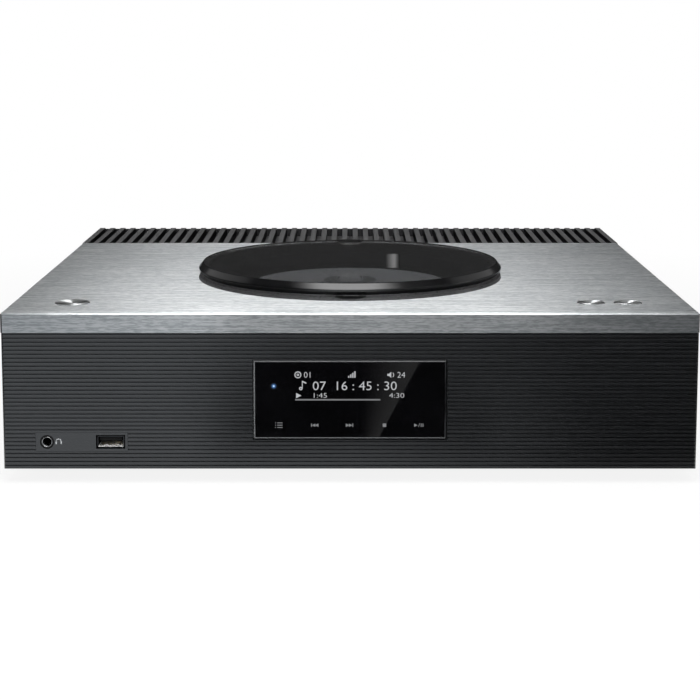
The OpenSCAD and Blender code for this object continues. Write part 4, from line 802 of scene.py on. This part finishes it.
def jackRing(sizes):
    low, high = (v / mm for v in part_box("headphone_ring"))
    middle = (low + high) / 2
    bore, sink, edge, rim = sizes["bore"], sizes["countersink"], sizes["edge"], sizes["rim"]
    outer = (high.x - low.x) / 2
    profile = [(bore, high.y), (bore, low.y + sizes["sinkDeep"]), (sink, low.y + edge), (sink + edge, low.y),
               (outer - rim, low.y), (outer, low.y + rim), (outer, high.y)]
    bm = bmesh.new()
    lathe(bm, softened(profile, sizes["ease"]), (middle.x, 0, middle.z), "Y", 64, True)
    addPiece(
        "jackRing", bm, "case", "nickel_plate", plainFinish("jackNickel", sizes["tone"]), ["headphone_ring"])


shellSet = {
    "wall": 0.35, "round": 0.7, "lip": 0.12, "flare": 0.1, "flareDeep": 0.3, "back": 1.0, "inside": 0.07,
    "front": 0.05, "tab": (1.0, 0.13), "tabX": 2.8, "tabIn": 0.12, "tabSpan": (2.2, 7.0), "tabEase": 0.1,
    "rimTone": plain((0.05, 0.05, 0.052), 0.1, (0.25, 0.35), (500, 1600, 500), 4e-6, metal=1.0),
    "floorTone": plain((0.8, 0.8, 0.79), 0.06, (0.45, 0.55), (500, 1600, 500), 4e-6, metal=0.3)}


def busShell(sizes):
    low, high = (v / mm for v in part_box("usb_shell"))
    x, z = (low.x + high.x) / 2, (low.z + high.z) / 2
    w, h = high.x - low.x, high.z - low.z
    wall, lip, flare, r = (sizes[k] for k in ("wall", "lip", "flare", "round"))
    innerW, innerH, innerR = w - 2 * wall, h - 2 * wall, r - wall + flare / 2
    loops = [
        (w, h, r, high.y), (w, h, r, low.y + lip), (w - 2 * lip, h - 2 * lip, r, low.y),
        (innerW + flare, innerH + flare, r - wall + flare, low.y),
        (innerW, innerH, innerR, low.y + sizes["flareDeep"]),
        (innerW, innerH, innerR, high.y - sizes["back"])]
    bm = bmesh.new()
    rings = []
    for a, b, c, y in loops:
        rings.append([bm.verts.new(Vector((u, y, v)) * mm) for u, v in roundedBox(a, b, c, (x, z))])
    for one, two in zip(rings, rings[1:]):
        walled(bm, one, two)
    bm.faces.new(rings[0])
    bm.faces.new(rings[-1])
    wide, thick = sizes["tab"]
    start, end = (low.y + reach for reach in sizes["tabSpan"])
    for side in (-1, 1):   # spring tabs pressed into the upper and lower walls
        for at in (x - sizes["tabX"], x + sizes["tabX"]):
            up = z + side * (h / 2 - wall - sizes["tabIn"])
            softBox(bm, (at - wide, start, up - thick), (at + wide, end, up + thick), sizes["tabEase"], 1)
    reachX, reachZ = innerW / 2 + sizes["inside"], innerH / 2 + sizes["inside"]

    # Painted shade inside the shell, and a pale painted highlight on its upward-facing floor
    def shade(face):   # deep in shade inside, apart from the floor of the shell
        u, y, v = face.center / mm
        if abs(u - x) < reachX and abs(v - z) < reachZ and y > low.y + sizes["front"]:
            return 2 if face.normal.z > 0.5 else 1
        return 0

    coats = [
        plainFinish("shellNickel", sizes["rimTone"]), deepBlack,
        plainFinish("shellFloor", sizes["floorTone"])]
    mesh = painted(meshFrom(bm, "busShell"), coats, shade)
    addPiece("busShell", mesh, "case", "nickel_plate", replaced=["usb_shell"])


tongueSet = {
    "ease": 0.25, "contacts": 4, "half": 0.55, "from": 0.8, "to": 1, "proud": 0.08, "sunk": 0.1,
    "padEase": 0.06}


def busTongue(sizes):
    low, high = (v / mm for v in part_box("usb_tongue"))
    bm = bmesh.new()
    softBox(bm, low, high, sizes["ease"])
    addPiece("busTongue", bm, "case", "black_plastic", deepBlack, ["usb_tongue"])
    pad = bmesh.new()
    softBox(pad, (-sizes["half"], low.y + sizes["from"], low.z - sizes["proud"]),
            (sizes["half"], high.y - sizes["to"], low.z + sizes["sunk"]), sizes["padEase"], 1)
    step = (high.x - low.x) / sizes["contacts"]
    pads = rowAlong("busContacts", pad, "gold_plate", sizes["contacts"], low.x + step / 2, step)
    addPiece("busContacts", pads, "case", "gold_plate")


jackRing(jackSet)
busShell(shellSet)
busTongue(tongueSet)

# Headphone sign printed on the strip beside the jack
signSet = {
    "x": -142.6, "rise": 0.3, "radius": 1.4, "thick": 0.03, "sunk": 0.02, "line": 0.42,
    "cup": (0.62, 1.7, 0.2), "cupIn": 0.15, "cupDrop": 0.55,
    "tone": plain((0.3, 0.31, 0.32), 0.1, (0.5, 0.6), 2000, 5e-6)}


def headphoneSign(sizes):
    low, high = (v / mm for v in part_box("port_strip"))
    x, z, r = sizes["x"], (low.z + high.z) / 2 + sizes["rise"], sizes["radius"]
    depth = (low.y - sizes["thick"], low.y + sizes["sunk"])
    bm = bmesh.new()
    prism(bm, arcPoints((x, z), r, 0, 180, 12) + arcPoints((x, z), r - sizes["line"], 180, 0, 12), *depth)
    for side in (-1, 1):
        middle = (x + side * (r - sizes["cupIn"]), z - sizes["cupDrop"])
        prism(bm, roundedBox(*sizes["cup"], middle, 2), *depth)
    addPiece("headphoneSign", bm, "case", "white_plastic", plainFinish("signGrey", sizes["tone"]))


headphoneSign(signSet)
print("ports: done")

# Turntable with its hub, and the pivot cap
driveSet = {
    "hub": 7.4, "hubSlope": (1.3, 1.0), "bore": 1.05, "dimple": (3.2, 2.6, 0.5), "ease": 0.35,
    "plateTone": plain((0.7, 0.71, 0.72), 0.1, (0.3, 0.4), 1500, 1e-5),
    "matTone": plain((0.3, 0.305, 0.31), 0.15, (0.6, 0.7), 1800, 3e-5), "capRim": (0.9, 1.2, 0.25),
    "capEase": 0.35}


def turntableForm(sizes):
    low, high = (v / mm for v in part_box("turntable"))
    middle = (low + high) / 2
    r, hub, bore = (high.x - low.x) / 2, sizes["hub"], sizes["bore"]
    (slopeIn, slopeDown), (wide, small, deep) = sizes["hubSlope"], sizes["dimple"]
    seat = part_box("turntable_mat")[0].z / mm
    profile = [
        (bore, low.z), (r, low.z), (r, seat), (hub, seat), (hub, high.z - slopeDown),
        (hub - slopeIn, high.z), (wide, high.z), (small, high.z - deep), (bore, high.z - deep)]
    bm = bmesh.new()
    lathe(bm, softened(profile, sizes["ease"]), (middle.x, middle.y, 0), closed=True)
    nodes["turntable_mat"].data.materials[0] = plainFinish("matGrey", sizes["matTone"])
    addPiece(
        "turntableForm", bm, "turntable", "black_plastic", plainFinish("turntableGrey", sizes["plateTone"]),
        ["turntable"])


def pivotCapForm(sizes):
    low, high = (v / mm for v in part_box("pivot_cap"))
    middle = (low + high) / 2
    r, (rim, slope, deep) = (high.x - low.x) / 2, sizes["capRim"]
    profile = [(0, low.z), (r, low.z), (r, high.z), (r - rim, high.z), (r - slope, high.z - deep),
               (0, high.z - deep)]
    bm = bmesh.new()
    lathe(bm, softened(profile, sizes["capEase"]), (middle.x, middle.y, 0))
    addPiece("pivotCapForm", bm, "lid", "pivot_metal", replaced=["pivot_cap"])


turntableForm(driveSet)
pivotCapForm(driveSet)
print("drive and pivot: done")

# Rear sockets: eased copies, white and red phono inserts, contacts in the network socket
rearSet = {
    "ease": {"phono_shells": 0.2, "aerial_socket": 0.2, "lan_socket": 0.2, "optical_socket": 0.25,
             "mains_inlet": 0.3, **{f"speaker_knob_{i}": 0.3 for i in range(1, 5)}},
    "insertEase": 0.15, "angle": 40, "pins": 8, "pinPitch": 1.02, "pinHalf": 0.2,
    "pin": ((1.2, 4.6), (1.2, 4.2), (9.0, 1.2), (9.0, 1.6))}   # in from the rear, up from the middle


def rearSockets(sizes):
    for node, ease in sizes["ease"].items():
        parts = node.split("_")
        name = parts[0] + "".join(part.capitalize() for part in parts[1:]) + "Eased"
        body = node if node in frame["bodies"] else "case"
        addPiece(name, cadCopy(node, ease, 2, sizes["angle"]), body, slotOf[node], replaced=[node])
    low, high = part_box("phono_inserts")
    mesh = painted(cadCopy("phono_inserts", sizes["insertEase"], 2, sizes["angle"]),
                   [finishes["white_plastic"], finishes["red_plastic"]],
                   lambda face: face.center.z <= (low.z + high.z) / 2)   # one channel in each row
    addPiece("phonoInserts", mesh, "case", "white_plastic", replaced=["phono_inserts"])


def lanContacts(sizes):
    low, high = (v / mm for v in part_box("lan_socket"))
    middle = (low + high) / 2
    half, pitch = sizes["pinHalf"], sizes["pinPitch"]
    pin = bmesh.new()
    prism(pin, [(high.y - deep, middle.z + up) for deep, up in sizes["pin"]], -half, half, "X")
    start = middle.x - pitch * (sizes["pins"] - 1) / 2
    pins = rowAlong("lanContacts", pin, "gold_plate", sizes["pins"], start, pitch)
    addPiece("lanContacts", pins, "case", "gold_plate")


rearSockets(rearSet)
lanContacts(rearSet)
print("rear sockets: done")

# Feet and pads, one shape on each of four points
footSet = {
    "radius": 18.0, "recess": 13.2, "edge": 1.5, "groove": 0.5, "grooveUp": 4.0, "ease": 0.35, "pad": 13.0,
    "padEase": 0.4, "steps": 72}


def feetForms(sizes):
    low, high = (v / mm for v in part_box("feet"))
    padLow, padHigh = (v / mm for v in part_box("foot_pads"))
    r, recess, edge, g, up, pad = (
        sizes[k] for k in ("radius", "recess", "edge", "groove", "grooveUp", "pad"))
    spots = [(x, y, 0) for x in (low.x + r, high.x - r) for y in (low.y + r, high.y - r)]
    foot = [
        (0, padHigh.z), (recess, padHigh.z), (recess, low.z), (r - edge, low.z), (r, low.z + edge), (r, up),
        (r - g, up + g), (r, up + 2 * g), (r, high.z), (0, high.z)]
    sole = [(0, padLow.z), (pad, padLow.z), (pad, padHigh.z), (0, padHigh.z)]
    rows = (("feetForms", foot, sizes["ease"], "black_plastic", "feet"),
            ("padForms", sole, sizes["padEase"], "rubber_black", "foot_pads"))
    for name, profile, ease, slot, node in rows:
        bm = bmesh.new()
        lathe(bm, softened(profile, ease), (0, 0, 0), steps=sizes["steps"])
        forms = repeated("spot", name, meshFrom(bm, name + "Form"), finishes[slot], spots)
        addPiece(name, forms, "case", slot, replaced=[node])


feetForms(footSet)

# Screws with a cross recess: four on the rear panel and those of the boards
screwSet = {
    "head": 2.8, "rise": 1.8, "domeAngles": (0.25, 0.5, 0.75, 1.0, 1.25, 1.5), "domeShare": 0.45,
    "shank": 1.45, "reach": 7.2, "boardReach": 5.0, "recess": 1.6, "recessHalf": 0.275, "recessDeep": 1.0,
    "steps": 40}


def screwShape(sizes, reach):
    head, rise, share, shank = (sizes[k] for k in ("head", "rise", "domeShare", "shank"))
    dome = [(head * math.sin(a), rise * (1 - share + share * math.cos(a))) for a in sizes["domeAngles"]]
    profile = [(0, rise)] + dome + [(head, 0), (shank, 0), (shank, -reach), (0, -reach)]
    screw, cross = bmesh.new(), bmesh.new()
    lathe(screw, profile, (0, 0, 0), steps=sizes["steps"])
    r, w = sizes["recess"], sizes["recessHalf"]
    outline = [(w, r), (w, w), (r, w), (r, -w), (w, -w), (w, -r)]
    outline += [(-x, -z) for x, z in outline]
    prism(cross, outline, rise - sizes["recessDeep"], rise + 1, "Z")
    return cutFrom(meshFrom(screw, "screwHead"), meshFrom(cross, "screwCross"))


def looseBoxes(node):
    bm = bmesh.new()
    bm.from_mesh(nodes[node].data)
    done, boxes = set(), []
    for start in bm.verts:
        group, edge = [], [start]
        while edge:
            v = edge.pop()
            if v not in done:
                done.add(v)
                group.append(v.co / mm)
                edge += [e.other_vert(v) for e in v.link_edges]
        if group:
            boxes.append([Vector(f(p[i] for p in group) for i in range(3)) for f in (min, max)])
    bm.free()
    return boxes


def caseScrews(sizes):
    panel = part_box("rear_panel")[1].y / mm
    rear, upright = [], []
    for low, high in looseBoxes("case_screws"):
        middle = (low + high) / 2
        if high.y > panel:
            rear.append((middle.x, panel, middle.z))
        else:
            upright.append((middle.x, middle.y, high.z - sizes["rise"]))
    bm = bmesh.new()
    for name, spots, turn, reach in (("rearScrews", rear, -math.pi / 2, sizes["reach"]),
                                     ("boardScrews", upright, 0.0, sizes["boardReach"])):
        shape = screwShape(sizes, reach)
        addMesh(bm, repeated("spot", name, shape, finishes["black_screw"], spots, Turn=(turn, 0.0, 0.0)))
    addPiece("caseScrews", bm, "case", "black_screw", replaced=["case_screws"])


caseScrews(screwSet)
print("feet and screws: done")

# Floor and backdrop: white to the eye, and the floor keeps a share of its shadow near the case
stageSet = {
    "floor": 8.0, "tone": (0.9, 0.9, 0.9, 1), "rough": 0.9, "share": 0.87, "near": 0.25, "far": 0.7,
    "white": (1, 1, 1, 1), "fill": 0.42}


def sightMask(tree):
    path = put(tree, "ShaderNodeLightPath").outputs
    seen = joined(tree, "MAXIMUM", path["Is Camera Ray"], path["Is Glossy Ray"])
    return joined(tree, "MAXIMUM", seen, path["Is Transmission Ray"])


def studioWorld(sizes):
    world = bpy.data.worlds.new("studio")
    scene.world = world
    world.use_nodes = True
    tree = world.node_tree
    fill = tree.nodes["Background"]
    feed(tree, fill, {"Color": sizes["white"], "Strength": sizes["fill"]})
    white = put(tree, "ShaderNodeBackground", {"Color": sizes["white"], "Strength": 1.0})
    mix = put(tree, "ShaderNodeMixShader", {0: sightMask(tree), 1: fill.outputs[0], 2: white.outputs[0]})
    feed(tree, tree.nodes["World Output"], {"Surface": mix.outputs[0]})


def paleFloor(sizes):
    finish, tree, shader = startFinish("paleFloor")
    feed(tree, shader, {"Base Color": sizes["tone"], "Roughness": sizes["rough"]})
    glow = put(tree, "ShaderNodeEmission", {"Color": sizes["white"], "Strength": 1.0})
    reach = vectored(tree, "LENGTH", placed(tree))["Value"]
    away = between(tree, reach, sizes["share"], 1.0, sizes["near"], sizes["far"])
    mix = put(tree, "ShaderNodeMixShader", {
        0: joined(tree, "MULTIPLY", sightMask(tree), away), 1: shader.outputs[0], 2: glow.outputs[0]})
    feed(tree, tree.nodes["Material Output"], {"Surface": mix.outputs[0]})
    bm = bmesh.new()
    bmesh.ops.create_grid(bm, x_segments=1, y_segments=1, size=sizes["floor"])
    mesh = meshFrom(bm, "paleFloor")
    mesh.materials.append(finish)
    floor = bpy.data.objects.new("paleFloor", mesh)
    scene.collection.objects.link(floor)


# Cards show only in gloss and glass; each fades from one grey to another along one way
def card(corners, low, high, start=0.0, end=1.0, along=(1, 0, 0), **more):
    return {"corners": corners, "low": low, "high": high, "from": start, "to": end, "along": along, **more}


def flatCard(x0, x1, y0, y1, z):
    return (x0, y0, z), (x1, y0, z), (x1, y1, z), (x0, y1, z)


def facingCard(x0, x1, y, z0, z1):
    return (x0, y, z0), (x1, y, z0), (x1, y, z1), (x0, y, z1)


def sideCard(x, y0, y1, z0, z1):
    return (x, y0, z0), (x, y1, z0), (x, y1, z1), (x, y0, z1)


upward = (0, 0, 1)
coolTint = (0.9, 0.95, 1.0)
cardSets = {
    "rearCard": card(facingCard(-3, 3, 1.5, 0.0, 1.5), 0.035, 0.06, 0.2, 1.5, upward),
    "topCard": card(flatCard(-3, 3, -1.6, 1.5, 1.5), 0.06, 0.06),
    "floorCard": card(flatCard(-0.6, 1.0, -1.6, -0.19, 0.0006), 1.75, 0.0, -0.025, 0.15, tint=coolTint),
    "paneFlag": card(flatCard(-0.075, 0.075, -0.5, -0.23, 0.0008), 0.0, 0.0),
    "paneCard": card(((-0.05, -0.48, 0.0009), (0.0504, -0.48, 0.0009), (0.0128, -0.236, 0.0009),
                      (-0.05, -0.236, 0.0009)), 0.0, 0.36, 0.0, 0.154, apex=(0.0058, -0.1903)),
    "lampCard": card(facingCard(0.053, 0.074, 1.45, 0.309, 0.33), 0.0, 0.36, 0.045, 0.066,
                     fade=(0.0665, 0.0755)),
    "leftCard": card(sideCard(-1.2, -1.6, 0.2, 0.0, 1.5), 0.05, 0.05),
    "leftRear": card(sideCard(-1.2, 0.2, 1.5, 0.0, 1.5), 0.05, 0.5, 0.2, 0.7, upward),
    "rightRear": card(sideCard(1.2, 0.2, 1.5, 0.0, 1.5), 0.05, 0.5, 0.2, 0.7, upward),
    "leftFlag": card(flatCard(-3, -0.172, -0.15, 3, 0.0004), 0.05, 0.05),
    "rightFlag": card(flatCard(0.172, 3, -0.15, 3, 0.0004), 0.05, 0.05),
    "rightCard": card(sideCard(1.0, -1.6, -0.19, 0.0, 1.5), 0.02, 0.8, 0.2, 0.7, upward),
    "keyCard": card(((-0.5, -0.75, 0.599), (0.5, -0.75, 0.599), (0.5, -0.3, 0.599), (-0.5, -0.17, 0.599)),
                    0.0, 7.1, -0.365, -0.14, fade=(0.14, 0.375)),
    "leftTail": card(flatCard(-0.62, -0.22, -0.25, -0.05, 0.599), 0.05, 0.2, -0.62, -0.22),
    "rightTail": card(flatCard(0.22, 0.62, -0.25, -0.05, 0.599), 0.25, 0.05, 0.22, 0.62),
    "frontCard": card(facingCard(-1.5, 1.5, -1.6, 0.0, 1.6), 0.48, 0.78, -0.8, 0.5, tint=coolTint),
}


def cardLevel(tree, sizes):
    if "apex" in sizes:   # opens out from a point, towards the camera
        x, y = sizes["apex"]
        parts = put(tree, "ShaderNodeSeparateXYZ", {0: placed(tree, shift=(-x, -y, 0))}).outputs
        way = joined(tree, "DIVIDE", parts["X"], joined(tree, "MULTIPLY", parts["Y"], -1))
    else:
        way = vectored(tree, "DOT_PRODUCT", placed(tree), sizes["along"])["Value"]
    low, high = sizes["low"], sizes["high"]
    reach = put(tree, "ShaderNodeMapRange", interpolation_type="SMOOTHSTEP")
    feed(tree, reach, {
        "Value": way, "From Min": sizes["from"], "From Max": sizes["to"], "To Min": low, "To Max": high})
    if "fade" not in sizes:
        return reach.outputs[0]
    out = between(tree, way, 1.0, 0.0, *sizes["fade"])   # dies away again, with a long soft tail
    share = joined(tree, "MULTIPLY", joined(tree, "DIVIDE", reach.outputs[0], high), out)
    return joined(tree, "MULTIPLY", joined(tree, "POWER", share, 2.0), high)


def reflectionCard(name, sizes):
    finish, tree, shader = startFinish(name)
    tree.nodes.remove(shader)
    glow = put(tree, "ShaderNodeEmission", {
        "Color": (*sizes.get("tint", (1, 1, 1)), 1), "Strength": cardLevel(tree, sizes)})
    feed(tree, tree.nodes["Material Output"], {"Surface": glow.outputs[0]})
    mesh = bpy.data.meshes.new(name)
    mesh.from_pydata(sizes["corners"], [], [(0, 1, 2, 3)])
    mesh.materials.append(finish)
    card = bpy.data.objects.new(name, mesh)
    scene.collection.objects.link(card)
    for ray in ("camera", "diffuse", "volume_scatter", "shadow"):
        setattr(card, "visible_" + ray, False)


# Lamps light what is matt; in gloss the cards stand for them
lampSets = {
    "keyBox": {"place": (-0.004, -0.5, 0.6), "aim": (-0.004, -0.5, 0.0), "size": (0.458, 0.5),
               "radiance": 7.5},
    "leftBox": {"place": (-0.6, -0.75, 0.3), "aim": (-0.1, -0.17, 0.04), "size": (0.4, 0.4),
                "radiance": 3.4},
}


def softLamp(name, sizes):
    lamp = bpy.data.lights.new(name, "AREA")
    lamp.shape = "RECTANGLE"
    lamp.size, lamp.size_y = sizes["size"]
    lamp.energy = sizes["radiance"] * math.pi * lamp.size * lamp.size_y
    holder = bpy.data.objects.new(name, lamp)
    holder.location = sizes["place"]
    way = Vector(sizes["aim"]) - Vector(sizes["place"])
    holder.rotation_euler = way.to_track_quat("-Z", "Y").to_euler()
    holder.visible_camera = False
    holder.visible_glossy = False
    scene.collection.objects.link(holder)


cameraSet = {"y": -952.8, "z": 227.8, "pitch": 6.725, "lens": 84.18, "sensor": 36.0, "shift": -0.2}


def addCamera(sizes):
    data = bpy.data.cameras.new("viewCamera")
    data.lens = sizes["lens"]
    data.sensor_width = sizes["sensor"]
    data.shift_y = sizes["shift"]
    camera = bpy.data.objects.new("viewCamera", data)
    camera.location = (0, sizes["y"] * mm, sizes["z"] * mm)
    camera.rotation_euler = Euler((math.radians(90 - sizes["pitch"]), 0, 0))
    scene.collection.objects.link(camera)
    scene.camera = camera


studioWorld(stageSet)
paleFloor(stageSet)
for name, sizes in cardSets.items():
    reflectionCard(name, sizes)
for name, sizes in lampSets.items():
    softLamp(name, sizes)
addCamera(cameraSet)
scene.view_settings.view_transform = "Standard"
print("stage: done")
